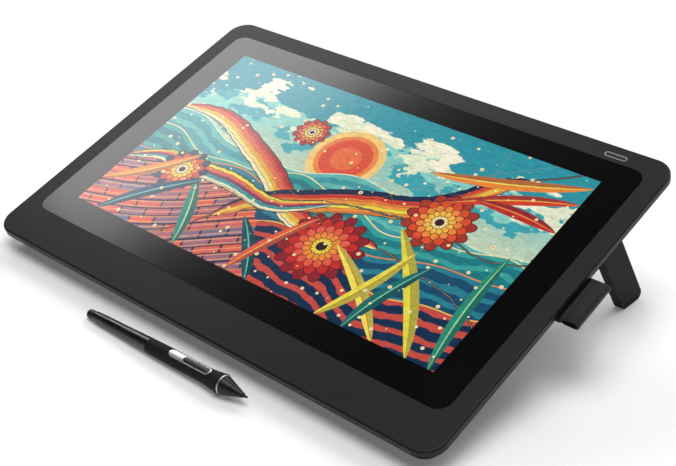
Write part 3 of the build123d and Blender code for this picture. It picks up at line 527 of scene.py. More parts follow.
class GardenPicture:
    """Generic picture on the screen: sun, clouds, terraced hills, ribbons, flowers and leaves.

    Every shape is worked out from its place in millimetres on the glass, so that the picture
    lies still on the screen from every side.
    """

    HILLS = (
        Hill(14, 9, 34, 0.4, "#3d9aa3", "#63b9b4", "#dff0cf"),
        Hill(-4, 8, 27, 2.1, "#1f7d86", "#3aa39d", "#f3e3a6"),
        Hill(-24, 10, 41, 3.3, "#1a4f6e", "#2a7f93", "#f08e4a"),
        Hill(-52, 9, 30, 1.2, "#16304f", "#c94f45", "#f6c35a"),
    )
    RIBBONS = (
        Ribbon((-172, 26), -14, 250, 10, 13, 38, ("#c2322c", "#e8604a", "#f28f3f", "#f7d659", "#f2e6b8")),
        Ribbon((-60, -60), 34, 230, 12, 10, 33, ("#1d2f4f", "#d8452f", "#f0913f", "#f6dd4a", "#f0913f")),
        Ribbon((-172, -42), 9, 190, 8, 9, 30, ("#f6dd4a", "#e8604a", "#7a3f63", "#2fa7a8", "#f2e6b8")),
    )
    BLOOMS = (
        Bloom((36, -46), 33, 15, ("#8f2630", "#c9302c", "#e8604a", "#f0913f", "#f6dd4a")),
        Bloom((96, 12), 27, 13, ("#a8382d", "#e0512f", "#f28f3f", "#f7c14f", "#fbe9a2")),
        Bloom((-118, -34), 22, 12, ("#14445f", "#d8452f", "#f08e4a", "#f7d659", "#fff3cf")),
        Bloom((-52, 46), 15, 11, ("#b5342c", "#e8604a", "#f3a14a", "#f8e17a", "#fff3cf")),
    )
    LEAVES = (
        Leaf((150, -98), 118, 118, 6.5, 22, "#e9dc4c", "#b5a52d"),
        Leaf((168, -98), 104, 104, 6.0, -16, "#2f8f78", "#9fd8a0"),
        Leaf((122, -98), 96, 132, 6.0, 18, "#f6e45e", "#d08a2c"),
        Leaf((96, -98), 74, 84, 6.5, -14, "#1f6f6b", "#7cc7a5"),
        Leaf((72, -98), 82, 60, 5.5, 15, "#efdf52", "#b98f2c"),
        Leaf((8, -98), 64, 120, 6.5, 14, "#17575f", "#6cc0b0"),
        Leaf((-14, -98), 78, 76, 5.5, -12, "#e8604a", "#f7c14f"),
        Leaf((-66, -98), 70, 108, 6.5, 13, "#2b8c80", "#bfe3b0"),
        Leaf((-150, -98), 86, 58, 7.0, -16, "#1b4d6b", "#77c4c0"),
        Leaf((-172, -70), 78, 34, 6.0, 14, "#f0913f", "#f7d659"),
        Leaf((172, 70), 92, 196, 6.0, 15, "#d8452f", "#f6b04e"),
        Leaf((172, 88), 118, 206, 6.5, -16, "#ef8a3c", "#f7dc6a"),
        Leaf((172, 40), 66, 168, 6.0, 12, "#c2322c", "#f08e4a"),
    )

    SKY = "#62c3c4"
    LOW_SKY = "#f3e6b4"
    HIGH_SKY = "#2f97a6"
    CLOUDS = ("#3fa9b4", "#8fd2c6", "#e9efcf", "#fdf6dc")
    SUN_RINGS = ((1.24, "#f7cf7c"), (1.0, "#f08a4b"), (0.84, "#e2533a"), (0.5, "#ec7345"))
    INK = "#16243f"
    PETAL_LINE = "#4a1626"
    PETAL = "#fbeeb8"
    SEED = "#e8604a"
    LEAF_SHADE = "#102a3c"
    FLOWER_EYE = "#3a1d2b"
    FURROW = "#f4b183"
    FIELDS = ("#e8604a", "#2b6f96", "#1a2c4a")
    SUN_MIDDLE = (-8, 34)
    SUN_RADIUS = 25

    def __init__(self, tree: NodeTree, across: Field, up: Field) -> None:
        """Start with a clear sky.

        Args:
            tree: Node tree of the display's material.
            across: Millimetres to the right of the picture's middle.
            up: Millimetres above the picture's middle.
        """
        self.tree = tree
        self.across = across
        self.up = up
        self.place = add_node(tree, "ShaderNodeCombineXYZ", inputs={0: across, 1: up}).outputs[0]
        self.colour: Any = linear(self.SKY)

    def lay(self, mask: Field, colour: Any) -> None:
        """Paint a colour, as hex or as a socket, over the picture where the mask is 1."""
        paint = linear(colour) if isinstance(colour, str) else colour
        self.colour = mask.mixed(self.colour, paint)

    def stroke_noise(self, grain: float, squash: float = 1.0, detail: float = 3.0,
                     shift: float = 0.0) -> Field:
        """Brush-like variation about zero.

        Args:
            grain: Size of a lump in millimetres.
            squash: How much lower than wide a lump is.
            detail: Octaves of finer lumps.
            shift: Move that gives another part of the pattern.

        Returns:
            A field from -0.5 to 0.5.
        """
        inputs = {"Vector": self.place, "Scale": (1.0, squash, 1.0), "Location": (shift, shift, 0.0)}
        turned = add_node(self.tree, "ShaderNodeMapping", inputs=inputs).outputs[0]
        values = {"Vector": turned, "Scale": 1 / grain, "Detail": detail}
        lumps = add_node(self.tree, "ShaderNodeTexNoise", {"noise_dimensions": "2D"}, values)
        return Field(self.tree, lumps.outputs["Fac"]) - 0.5

    def turned(self, root: tuple[float, float], turn: float) -> tuple[Field, Field]:
        """Measure places along and across a direction.

        Args:
            root: Point that they are measured from, in millimetres.
            turn: Direction in degrees.

        Returns:
            Millimetres along the direction and to its left.
        """
        angle = math.radians(turn)
        right = self.across - root[0]
        above = self.up - root[1]
        along = right * math.cos(angle) + above * math.sin(angle)
        aside = above * math.cos(angle) - right * math.sin(angle)
        return along, aside

    def away(self, middle: tuple[float, float]) -> tuple[Field, Field, Field]:
        """Measure places from a point.

        Args:
            middle: The point, in millimetres.

        Returns:
            Millimetres to the right of it, above it and away from it.
        """
        right = self.across - middle[0]
        above = self.up - middle[1]
        return right, above, (right * right + above * above).math("SQRT")

    def sky(self) -> None:
        """Graded sky with layered clouds, the palest on top."""
        horizon, haze = 60, 90
        glow = (self.up * -1 + horizon) / haze
        self.lay(glow.math("MINIMUM", 1.0).math("MAXIMUM", 0.0), self.LOW_SKY)
        lump, finer, base, rise, fade, bare, billow, apart = 34, 5, 26, 11, 70, 0.14, 1.6, 7.0
        for step, tone in enumerate(self.CLOUDS):
            puff = self.stroke_noise(lump - finer * step, squash=1.7, detail=4.0, shift=step * apart)
            height = (self.up - base - rise * step) / fade
            self.lay((puff * billow + height - bare).mask(soft=0.012), tone)
        high = self.stroke_noise(grain=52, squash=2.2, detail=5.0, shift=31.0)
        top, top_fade, streak = 66, 80, 1.5
        self.lay((high * streak + (self.up - top) / top_fade).mask(soft=0.015), self.HIGH_SKY)

    def sun(self, middle: tuple[float, float], radius: float) -> None:
        """Large low sun with rings.

        Args:
            middle: Its middle in millimetres.
            radius: Its radius, which the rings are shares of.
        """
        away = self.away(middle)[2]
        for share, tone in self.SUN_RINGS:
            self.lay((away * -1 + radius * share).mask(), tone)

    def hill(self, hill: Hill) -> None:
        """Hill line with terraces that follow its crest.

        Args:
            hill: Its place, sizes and colours.
        """
        ripple_share, ripple_swing, rim_width = 0.37, 0.3, 1.1
        crest = (self.across / hill.wave + hill.shift).sine() * hill.swing + hill.height
        ripples = (self.across / (hill.wave * ripple_share) + hill.shift * 2).sine()
        crest = crest + ripples * (hill.swing * ripple_swing)
        below = crest - self.up
        self.lay(below.mask(), hill.colour)
        terrace_height, terrace_waver, terrace_level = 1.9, 6, 0.25
        waver = self.stroke_noise(grain=14, detail=2.0, shift=hill.shift) * terrace_waver
        bands = ((below + waver) / terrace_height).sine() - terrace_level
        self.lay(bands.mask(soft=0.15).both(below.mask()), hill.terrace)
        rim = below * -1 + rim_width
        self.lay(rim.mask().both(below.mask()), hill.crest)

    def fields(self) -> None:
        """Patchwork of tilled fields in the lower left, in bent rows."""
        along, aside = self.turned(root=(-172, -98), turn=24)
        bend_length, bend, row_pitch, row_level, row_weight = 40, 7, 0.85, 0.6, 0.55
        aside = aside + (along / bend_length).sine() * bend
        place = add_node(self.tree, "ShaderNodeCombineXYZ", inputs={0: along, 1: aside}).outputs[0]
        red_field, blue_field, hedge = self.FIELDS
        bricks = add_node(self.tree, "ShaderNodeTexBrick", inputs={
            "Vector": place, "Scale": 1.0, "Color1": linear(red_field), "Color2": linear(blue_field),
            "Mortar": linear(hedge), "Mortar Size": 0.9, "Brick Width": 21.0, "Row Height": 8.5,
            "Bias": -0.1,
        }).outputs["Color"]
        right_end, level, slope, roughness, top = 18, 60, 0.9, 40, 34
        reach = (self.across * -1 - right_end) - (self.up + level) * slope
        edge = reach + self.stroke_noise(grain=26, detail=2.0, shift=3.0) * roughness
        low = (self.up * -1 - top).mask()
        self.lay(edge.mask().both(low), bricks)
        rows = ((aside / row_pitch).sine() - row_level).mask(soft=0.2)
        self.lay((rows * row_weight).both(edge.mask()).both(low), self.FURROW)

    def ribbon(self, ribbon: Ribbon) -> None:
        """Flowing band with stripes along it.

        Args:
            ribbon: Its place, sizes and colours.
        """
        ripple_share, ripple, waver, outline = 0.45, 2.5, 3, 0.9
        line_pitch, line_level, line_weight = 0.62, 0.82, 0.6
        along, aside = self.turned(ribbon.start, ribbon.turn)
        middle = (along / ribbon.wave).sine() * ribbon.swing
        middle = middle + (along / (ribbon.wave * ripple_share)).sine() * ripple
        share = along / ribbon.length
        swell = (share * (share * -1 + 1)).math("MAXIMUM", 0.0).math("SQRT") * 2
        half = swell * ribbon.width
        strokes = self.stroke_noise(grain=9, squash=0.5, detail=2.0, shift=ribbon.turn) * waver
        place = aside - middle + strokes
        inside = (half - place.size()).mask()
        self.lay((half + outline - place.size()).mask(), self.INK)
        for step, tone in enumerate(ribbon.colours):
            level = 1 - 2 * step / len(ribbon.colours)
            self.lay((half * level - place).mask().both(inside), tone)
        lines = ((place / line_pitch).sine() - line_level).mask(soft=0.12)
        self.lay((lines * line_weight).both(inside), self.INK)

    def bloom(self, bloom: Bloom) -> None:
        """Flower of petal rings, each turned by half a petal from the one outside it.

        Args:
            bloom: Its place, sizes and colours.
        """
        ring_share, scallop, body, roundness = 0.19, 0.3, 0.72, 0.6
        line, inset, gap_width, gap_weight, heart, eye = 0.5, 0.3, 0.22, 0.7, 0.62, 0.13
        right, above, away = self.away(bloom.middle)
        angle = above.math("ARCTAN2", right) * (bloom.petals / 2)
        for step, tone in enumerate(bloom.colours):
            radius = bloom.radius * (1 - ring_share * step)
            turned = (angle + step * math.pi / 2).sine().size()
            edge = (turned.math("POWER", roundness) * scallop + body) * radius
            self.lay((edge + line - away).mask(), self.PETAL_LINE)
            self.lay((edge - inset - away).mask(), tone)
            gap = (turned * -1 + gap_width).mask(soft=0.08).both((away - radius * heart).mask())
            self.lay((gap * gap_weight).both((edge - away).mask()), self.PETAL_LINE)
        self.lay((away * -1 + bloom.radius * eye).mask(), self.FLOWER_EYE)

    def leaf(self, leaf: Leaf) -> None:
        """Curved leaf with a shaded half and a bright vein.

        Args:
            leaf: Its place, sizes and colours.
        """
        point, fullness, shade, shade_shift, shade_weight, vein = 0.7, 2.2, 0.55, 0.45, 0.45, 0.12
        along, aside = self.turned(leaf.root, leaf.turn)
        share = along / leaf.length
        inner = (share * (share * -1 + 1)).math("MAXIMUM", 0.0)
        half = inner.math("POWER", point) * (leaf.width * fullness)
        place = aside - share * share * leaf.bend
        self.lay((half - place.size()).mask(), leaf.colour)
        shaded = (half * shade - (place + half * shade_shift).size()).mask(soft=0.4)
        self.lay(shaded * shade_weight, self.LEAF_SHADE)
        self.lay((half * vein - place.size()).mask(soft=0.2), leaf.vein)

    def petals_in_wind(self) -> None:
        """Small petals and seeds that drift over the picture, each in a cell of its own."""
        cell, size, petal_rest, seed_rest = 13.0, 2.6, 0.9, 1.9
        settings = {"voronoi_dimensions": "2D", "feature": "F1"}
        inputs = {"Vector": self.place, "Scale": 1 / cell, "Randomness": 1.0}
        cells = add_node(self.tree, "ShaderNodeTexVoronoi", settings, inputs).outputs
        away = Field(self.tree, cells["Distance"]) * cell
        channels = add_node(self.tree, "ShaderNodeSeparateColor", inputs={0: cells["Color"]}).outputs
        pick = Field(self.tree, channels[0]) * size
        self.lay((pick - petal_rest - away).mask(soft=0.2), self.PETAL)
        self.lay((pick - seed_rest - away).mask(soft=0.2), self.SEED)

    def brushwork(self) -> Any:
        """Lay lightening and darkening strokes over all.

        Returns:
            The socket of the finished colour.
        """
        contrast, weight = 1.3, 0.45
        strokes = self.stroke_noise(grain=7, squash=3.0, detail=5.0, shift=11.0) * contrast + 1.0
        tone = add_node(self.tree, "ShaderNodeCombineColor", inputs={0: strokes, 1: strokes, 2: strokes})
        settings = {"data_type": "RGBA", "blend_type": "MULTIPLY"}
        inputs = {0: weight, 6: self.colour, 7: tone.outputs[0]}
        return add_node(self.tree, "ShaderNodeMix", settings, inputs).outputs[2]

    def paint(self) -> Any:
        """Paint all the layers from back to front.

        Returns:
            The socket of the picture's colour.
        """
        self.sky()
        self.sun(self.SUN_MIDDLE, self.SUN_RADIUS)
        for hill in self.HILLS:
            self.hill(hill)
        self.fields()
        layers = ((self.RIBBONS, self.ribbon), (self.BLOOMS, self.bloom), (self.LEAVES, self.leaf))
        for shapes, draw in layers:
            for shape in shapes:
                draw(shape)
        self.petals_in_wind()
        return self.brushwork()


@dataclass(frozen=True)
class EtchedDisplay:
    """Cover glass bonded over a lit panel, etched on its face against glare.

    The etched face spreads reflections into a wide, soft sheen. Behind the glass is a black
    printed border, and inside it the picture, which gives light of its own.
    """

    name: str = "etched_aluminosilicate_glass"
    picture_width: float = 344.16
    picture_height: float = 193.6
    border: str = "#020202"
    unlit: str = "#000000"
    roughness: float = 0.16
    uneven: float = 0.02
    etch: float = 0.8
    ior: float = 1.5
    glow: float = 0.9
    face_depth: float = 0.3

    def build(self) -> Material:
        """Make the material, with places measured on the tilted glass face.

        Returns:
            The finished material.
        """
        material, tree, shader, place = blank_material(self.name)
        inputs = {
            "Vector": place, "Location": picture_middle(),
            "Rotation": (TILT, 0.0, 0.0), "Scale": (mm(1), mm(1), mm(1)),
        }
        flat = add_node(tree, "ShaderNodeMapping", {"vector_type": "TEXTURE"}, inputs).outputs[0]
        parts = add_node(tree, "ShaderNodeSeparateXYZ", inputs={0: flat}).outputs
        across, up, out = (Field(tree, part) for part in parts)
        inside = (across.size() * -1 + self.picture_width / 2).both(up.size() * -1 + self.picture_height / 2)
        lit = inside.mask(soft=0.15).both((out + self.face_depth).mask(soft=0.05))
        speckle = Field.lumps(tree, place, self.etch)
        feed(tree, shader, {
            "Emission Color": lit.mixed(linear(self.unlit), GardenPicture(tree, across, up).paint()),
            "Emission Strength": self.glow, "Base Color": linear(self.border), "IOR": self.ior,
            "Roughness": speckle.ranged(self.roughness - self.uneven, self.roughness + self.uneven),
        })
        return material


def picture_middle() -> Vector:
    """Find the middle of the picture on the glass face, from the cover glass's box at rest.

    Returns:
        The point in the row frame, in metres.
    """
    up_glass, half_glass = 1.0, 0.8
    low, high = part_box("cover_glass")
    middle = (Vector(low) + Vector(high)) / 2
    return middle + Matrix.Rotation(TILT, 3, "X") @ Vector((0, mm(up_glass), mm(half_glass)))


def dress(node: str, material: Material) -> None:
    """Give a CAD node a material in all its slots.

    Args:
        node: Name of the node.
        material: Its finish.
    """
    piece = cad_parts[node]
    if not piece.material_slots:
        piece.data.materials.append(material)
    for slot in piece.material_slots:
        slot.material = material
    log.info("dressed %s in %s", node, material.name)


def placed(name: str, data: bpy.types.ID) -> Object:
    """Add an object with a mesh, a lamp or a camera to the scene.

    Args:
        name: Name of the object.
        data: Its mesh, lamp or camera.

    Returns:
        The new object.
    """
    piece = bpy.data.objects.new(name, data)
    bpy.context.collection.objects.link(piece)
    return piece


def finished(name: str, mesh: Mesh, body: str) -> Object:
    """Put a finished mesh in the scene as a piece that rides on a body.

    Args:
        name: Name of the piece.
        mesh: Mesh in the row frame, in metres.
        body: Body that it moves with.

    Returns:
        The new object.
    """
    piece = placed(name, mesh)
    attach(piece, body)
    log.info("made %s with %d faces, on %s", name, len(mesh.polygons), body)
    return piece


def islands(node: str) -> list[list[Vector]]:
    """Find the separate solids of a CAD node.

    Args:
        node: Name of the node.

    Returns:
        The corners of each solid, in the row frame.
    """
    weld = 1e-6
    mesh = bmesh.new()
    mesh.from_mesh(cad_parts[node].data)
    bmesh.ops.remove_doubles(mesh, verts=mesh.verts, dist=weld)
    left = set(mesh.verts)
    found = []
    while left:
        stack = [left.pop()]
        solid = []
        while stack:
            corner = stack.pop()
            solid.append(corner.co.copy())
            near = {edge.other_vert(corner) for edge in corner.link_edges} & left
            left -= near
            stack.extend(near)
        found.append(solid)
    mesh.free()
    return found


def tablet_axes() -> Matrix:
    """Turn from the tablet's own frame to the row frame."""
    return Matrix.Rotation(TILT, 4, "X")


def run_tree(name: str, tree: NodeTree, seed: Mesh,
             values: dict[str, Any]) -> Mesh:
    """Run a Geometry Nodes tree on a mesh and return the plain result.

    Args:
        name: Name of the resulting mesh.
        tree: Tree with named inputs, which ends in plain geometry with its material.
        seed: Mesh that the tree starts from.
        values: Input names and their values.

    Returns:
        The finished mesh, with the modifier left behind.
    """
    holder = placed(name + "_seed", seed)
    modifier = holder.modifiers.new(name, "NODES")
    modifier.node_group = tree
    for item in tree.interface.items_tree:
        if item.item_type == "SOCKET" and item.in_out == "INPUT" and item.name in values:
            modifier[item.identifier] = values[item.name]
    graph = bpy.context.evaluated_depsgraph_get()
    mesh = bpy.data.meshes.new_from_object(holder.evaluated_get(graph), depsgraph=graph)
    mesh.name = name
    bpy.data.objects.remove(holder, do_unlink=True)
    return mesh


def new_tree(name: str, inputs: dict[str, Any]) -> tuple[NodeTree, Any]:
    """Start a Geometry Nodes tree with named inputs.

    Args:
        name: Name of the tree.
        inputs: Input names, each with a default value whose type gives the kind of socket.

    Returns:
        The tree and the sockets of its inputs.
    """
    tree = bpy.data.node_groups.new(name, "GeometryNodeTree")
    for way in ("INPUT", "OUTPUT"):
        tree.interface.new_socket("Geometry", in_out=way, socket_type="NodeSocketGeometry")
    kinds = {tuple: "NodeSocketVector", float: "NodeSocketFloat", int: "NodeSocketInt"}
    for label, value in inputs.items():
        socket = tree.interface.new_socket(label, in_out="INPUT", socket_type=kinds[type(value)])
        socket.default_value = value
    return tree, add_node(tree, "NodeGroupInput").outputs


def close_tree(tree: NodeTree, geometry: NodeSocket, material: Material) -> None:
    """End a tree by realizing its instances and setting their material.

    Args:
        tree: Tree that is ended.
        geometry: Its result so far.
        material: Finish of all of it.
    """
    real = add_node(tree, "GeometryNodeRealizeInstances", inputs={0: geometry}).outputs[0]
    finish = {"Geometry": real, "Material": material}
    painted = add_node(tree, "GeometryNodeSetMaterial", inputs=finish).outputs[0]
    add_node(tree, "NodeGroupOutput", inputs={0: painted})


def thread_ridge(tree: NodeTree, radius: NodeSocket, pitch: NodeSocket,
                 length: NodeSocket, depth: NodeSocket) -> NodeSocket:
    """Helical ridge of a screw thread, which starts at the origin and runs up Z.

    Args:
        tree: Tree that gets the nodes.
        radius: Radius of the thread's root.
        pitch: Rise of one turn.
        length: Length of the threaded stretch.
        depth: Radius of the ridge's three-sided section.

    Returns:
        The ridge as a mesh.
    """
    helix = add_node(tree, "GeometryNodeCurveSpiral", inputs={
        "Resolution": 24, "Rotations": Field(tree, length) / pitch, "Start Radius": radius,
        "End Radius": radius, "Height": length,
    }).outputs[0]
    upright = add_node(tree, "GeometryNodeSetCurveNormal", {"mode": "Z_UP"}, {"Curve": helix}).outputs[0]
    round_size = {"Resolution": 3, "Radius": depth}
    section = add_node(tree, "GeometryNodeCurvePrimitiveCircle", inputs=round_size).outputs[0]
    sweep = {"Curve": upright, "Profile Curve": section, "Fill Caps": True}
    return add_node(tree, "GeometryNodeCurveToMesh", inputs=sweep).outputs[0]


def instances(tree: NodeTree, size: Any, piece: NodeSocket) -> NodeSocket:
    """Copies of an upright piece on a tree's points, turned to the tablet and each spun at random.

    Args:
        tree: Tree that gets the nodes.
        size: Sockets of its inputs, with the points, Tilt and Seed among them.
        piece: Geometry that is copied.

    Returns:
        The copies as instances.
    """
    spins = {2: 0.0, 3: 2 * math.pi, "Seed": size["Seed"]}
    spin = add_node(tree, "FunctionNodeRandomValue", {"data_type": "FLOAT"}, spins).outputs[1]
    about = add_node(tree, "ShaderNodeCombineXYZ", inputs={2: spin}).outputs[0]
    angles = {"Rotation": size["Tilt"], "Rotate By": about}
    turned = add_node(tree, "FunctionNodeRotateRotation", {"rotation_space": "LOCAL"}, angles).outputs[0]
    inputs = {"Points": size["Geometry"], "Instance": piece, "Rotation": turned}
    return add_node(tree, "GeometryNodeInstanceOnPoints", inputs=inputs).outputs[0]


def joined(tree: NodeTree, first: NodeSocket, second: NodeSocket, lift: Any) -> NodeSocket:
    """Join two geometries, the second of which is moved up first.

    Args:
        tree: Tree that gets the nodes.
        first: Geometry that stays where it is.
        second: Geometry that is moved along Z.
        lift: How far it is moved.

    Returns:
        Both as one geometry.
    """
    move = add_node(tree, "ShaderNodeCombineXYZ", inputs={2: lift}).outputs[0]
    raised = {"Geometry": second, "Translation": move}
    both = add_node(tree, "GeometryNodeJoinGeometry", inputs={0: first})
    tree.links.new(add_node(tree, "GeometryNodeTransform", inputs=raised).outputs[0], both.inputs[0])
    return both.outputs[0]


def screw_tree(material: Material) -> NodeTree:
    """Tree that puts a pan-head screw with a cross recess on each point, with its thread cut.

    Args:
        material: Finish of the screws.

    Returns:
        The tree.
    """
    tree, size = new_tree("machine_screws", {
        "Tilt": (0.0, 0.0, 0.0), "Head Radius": mm(2.8), "Head Height": mm(2.0), "Head Taper": 0.84,
        "Shank Radius": mm(1.5), "Shank Length": mm(9.0), "Recess Reach": mm(3.2), "Recess Width": mm(0.8),
        "Recess Depth": mm(1.2), "Pitch": mm(0.8), "Ridge": mm(0.15), "Seed": 3,
    })
    radius, height = size["Head Radius"], size["Head Height"]
    face = Field(tree, radius) * size["Head Taper"]
    cone = {"Vertices": 40, "Radius Top": radius, "Radius Bottom": face, "Depth": height}
    head = add_node(tree, "GeometryNodeMeshCone", inputs=cone).outputs[0]
    for along, across in (("Recess Reach", "Recess Width"), ("Recess Width", "Recess Reach")):
        reach = {0: size[along], 1: size[across], 2: size["Recess Depth"]}
        box = {"Size": add_node(tree, "ShaderNodeCombineXYZ", inputs=reach).outputs[0]}
        cut = {"Mesh 1": head, "Mesh 2": add_node(tree, "GeometryNodeMeshCube", inputs=box).outputs[0]}
        head = add_node(tree, "GeometryNodeMeshBoolean", {"operation": "DIFFERENCE"}, cut).outputs[0]
    thick, length = size["Shank Radius"], size["Shank Length"]
    ridge = thread_ridge(tree, thick, size["Pitch"], length, size["Ridge"])
    rod = {"Vertices": 32, "Radius": thick, "Depth": length}
    shank = add_node(tree, "GeometryNodeMeshCylinder", inputs=rod).outputs[0]
    threaded = joined(tree, ridge, shank, Field(tree, length) / 2)
    close_tree(tree, instances(tree, size, joined(tree, head, threaded, height)), material)
    return tree


def thread_tree(material: Material) -> NodeTree:
    """Tree that cuts a thread's ridge in the bore above each point.

    Args:
        material: Finish of the threads.

    Returns:
        The tree.
    """
    tree, size = new_tree("insert_threads", {
        "Tilt": (0.0, 0.0, 0.0), "Radius": mm(2.0), "Length": mm(5.4), "Pitch": mm(0.7),
        "Ridge": mm(0.25), "Seed": 5,
    })
    ridge = thread_ridge(tree, size["Radius"], size["Pitch"], size["Length"], size["Ridge"])
    close_tree(tree, instances(tree, size, ridge), material)
    return tree


def stitch_tree(material: Material) -> NodeTree:
    """Tree that lays stitches along a line of edges, each a little uneven.

    Args:
        material: Finish of the stitches.

    Returns:
        The tree.
    """
    tree, size = new_tree("hem_stitches", {
        "Pitch": mm(2.3), "Length": mm(1.5), "Width": mm(0.45), "Uneven": 0.15, "Seed": 11,
    })
    line = add_node(tree, "GeometryNodeMeshToCurve", inputs={"Mesh": size["Geometry"]}).outputs[0]
    steps = {"Curve": line, "Length": size["Pitch"]}
    even = add_node(tree, "GeometryNodeResampleCurve", {"mode": "LENGTH"}, steps).outputs[0]
    along = {"Vector": add_node(tree, "GeometryNodeInputTangent").outputs[0]}
    turned = add_node(tree, "FunctionNodeAlignRotationToVector", {"axis": "X"}, along).outputs[0]
    shares = {2: Field(tree, size["Uneven"]) * -1 + 1, 3: 1.0, "Seed": size["Seed"]}
    share = add_node(tree, "FunctionNodeRandomValue", {"data_type": "FLOAT"}, shares).outputs[1]
    reach = {0: size["Length"], 1: size["Width"], 2: size["Width"]}
    scaled = {0: add_node(tree, "ShaderNodeCombineXYZ", inputs=reach).outputs[0], 3: share}
    scale = add_node(tree, "ShaderNodeVectorMath", {"operation": "SCALE"}, scaled).outputs[0]
    ball = {"Segments": 10, "Rings": 8, "Radius": 0.5}
    loop = add_node(tree, "GeometryNodeMeshUVSphere", inputs=ball).outputs[0]
    inputs = {"Points": even, "Instance": loop, "Rotation": turned, "Scale": scale}
    close_tree(tree, add_node(tree, "GeometryNodeInstanceOnPoints", inputs=inputs).outputs[0], material)
    return tree


@cache
def made(finish: Any) -> Material:
    """Material of a finish, made the first time that it is asked for."""
    return finish.build()


BOARD = BoardLaminate("solder_masked_FR4")
SCREW = WorkedMetal("black_zinc_steel_screw", "#4c4d50", roughness=0.4, mark=0.4)
BRASS = WorkedMetal("machined_brass_insert", "#b8893c", roughness=0.3, mark=0.3, stretch=(1, 1, 6))
NIB = MouldedPlastic("moulded_POM_nib", "#1c1c1e", roughness=0.4, texture=MouldTexture.SATIN)


class DressedNodes:
    """A sub-assembly whose CAD nodes are dressed by a table of finishes."""

    FINISHES: dict[Any, tuple[str, ...]] = {}

    def dress(self) -> None:
        """Dress every node of the sub-assembly."""
        for finish, nodes in self.FINISHES.items():
            for node in nodes:
                dress(node, made(finish))


class Tablet(DressedNodes):
    """The tablet: moulded front and back, lit glass, legs, feet and everything inside."""

    FINISHES = {
        # Textured shells: dark, with a soft sheen on the face and hardly any on the back and legs.
        MouldedPlastic("moulded_ABS_charcoal", "#19191a", roughness=0.38, shine=0.165): ("front_frame",),
        MouldedPlastic("moulded_ABS_black", "#0c0c0d", shine=0.08): ("back_cover", "cable_cover"),
        MouldedPlastic("moulded_glass_filled_nylon", "#0a0a0b", texture=MouldTexture.FINE, shine=0.06):
            ("right_leg", "left_leg", "loop_anchor"),
        # A key with a finer texture than the frame's, and chips duller than any shell.
        MouldedPlastic("moulded_PC_key", "#111112", roughness=0.4, texture=MouldTexture.FINE):
            ("power_button",),
        MouldedPlastic("moulded_epoxy_chip", "#1a1a1a", roughness=0.6, texture=MouldTexture.FINE):
            ("board_components",),
        NIB: ("spare_nibs",),
        # The etched glass, a milky light ring and a clear guide.
        EtchedDisplay(): ("cover_glass",),
        PolishedPlastic("frosted_PMMA_light_ring", "#8d9092", roughness=0.4): ("power_light",),
        PolishedPlastic("clear_PMMA_light_guide", "#d8e4e4", roughness=0.15): ("light_guide",),
        # Rubbers: dull, with a dusty bloom.
        SoftRubber("moulded_silicone_rubber", "#101010"):
            ("right_leg_pad", "left_leg_pad", "front_foot", "rear_feet"),
        SoftRubber("acrylic_foam_tape", "#151515"): ("glass_adhesive",),
        # Metals: rolled and pressed sheet with long marks, dark screws, ground pins, turned brass.
        WorkedMetal("rolled_steel_sheet", "#8f9296", roughness=0.35, mark=0.5, stretch=(0.2, 3, 3)):
            ("shield_plate", "cable_socket"),
        WorkedMetal("pressed_aluminium_sheet", "#a9acaf", roughness=0.4, mark=0.6, stretch=(0.3, 3, 3)):
            ("panel_tray", "inner_frame"),
        WorkedMetal("ground_steel_pin", "#9fa2a6", roughness=0.25, mark=0.3, stretch=(1, 6, 6)):
            ("hinge_pins", "hinge_washers", "nib_puller"),
        SCREW: ("frame_screws", "board_screws", "case_screws"),
        BRASS: ("stand_inserts",),
        # Boards and films.
        BOARD: ("main_board", "sensor_board", "button_board"),
        ThinFilm("diffusing_PET_film", "#e9e9e6", roughness=0.5): ("diffuser_films", "led_strip"),
        ThinFilm("polyimide_ribbon_lead", "#a8641c", roughness=0.25): ("display_flex", "sensor_flex"),
        ThinFilm("laminated_panel_glass", "#15161a", roughness=0.1): ("lcd_panel",),
    }


class Pen(DressedNodes):
    """The pen: satin barrel, rubber grip, bright switch surround and dark nose."""

    FINISHES = {
        # A deep black barrel over a dull grip, with a smoother nose and switch.
        PolishedPlastic("satin_ABS_barrel", "#0b0b0c", roughness=0.26, coat=0.1): ("pen_barrel",),
        SoftRubber("overmoulded_TPE_grip", "#161617", roughness=0.6, grain=0.5): ("pen_grip",),
        MouldedPlastic("moulded_PC_switch", "#17171a", roughness=0.35, texture=MouldTexture.SATIN):
            ("side_switch", "eraser"),
        MouldedPlastic("satin_ABS_nose", "#111113", roughness=0.36, texture=MouldTexture.SATIN, shine=0.3):
            ("nose_cone",),
        NIB: ("nib",),
        # Bright satin plating, which breaks the dark line of the pen.
        WorkedMetal("satin_chrome_plating", "#e9eaec", roughness=0.4, mark=0.5, stretch=(1, 4, 4)):
            ("switch_bezel", "nose_ring"),
        WorkedMetal("enamelled_copper_winding", "#b0653a", roughness=0.3, mark=0.3, stretch=(8, 1, 1)):
            ("pen_coil",),
        BOARD: ("pen_board",),
    }


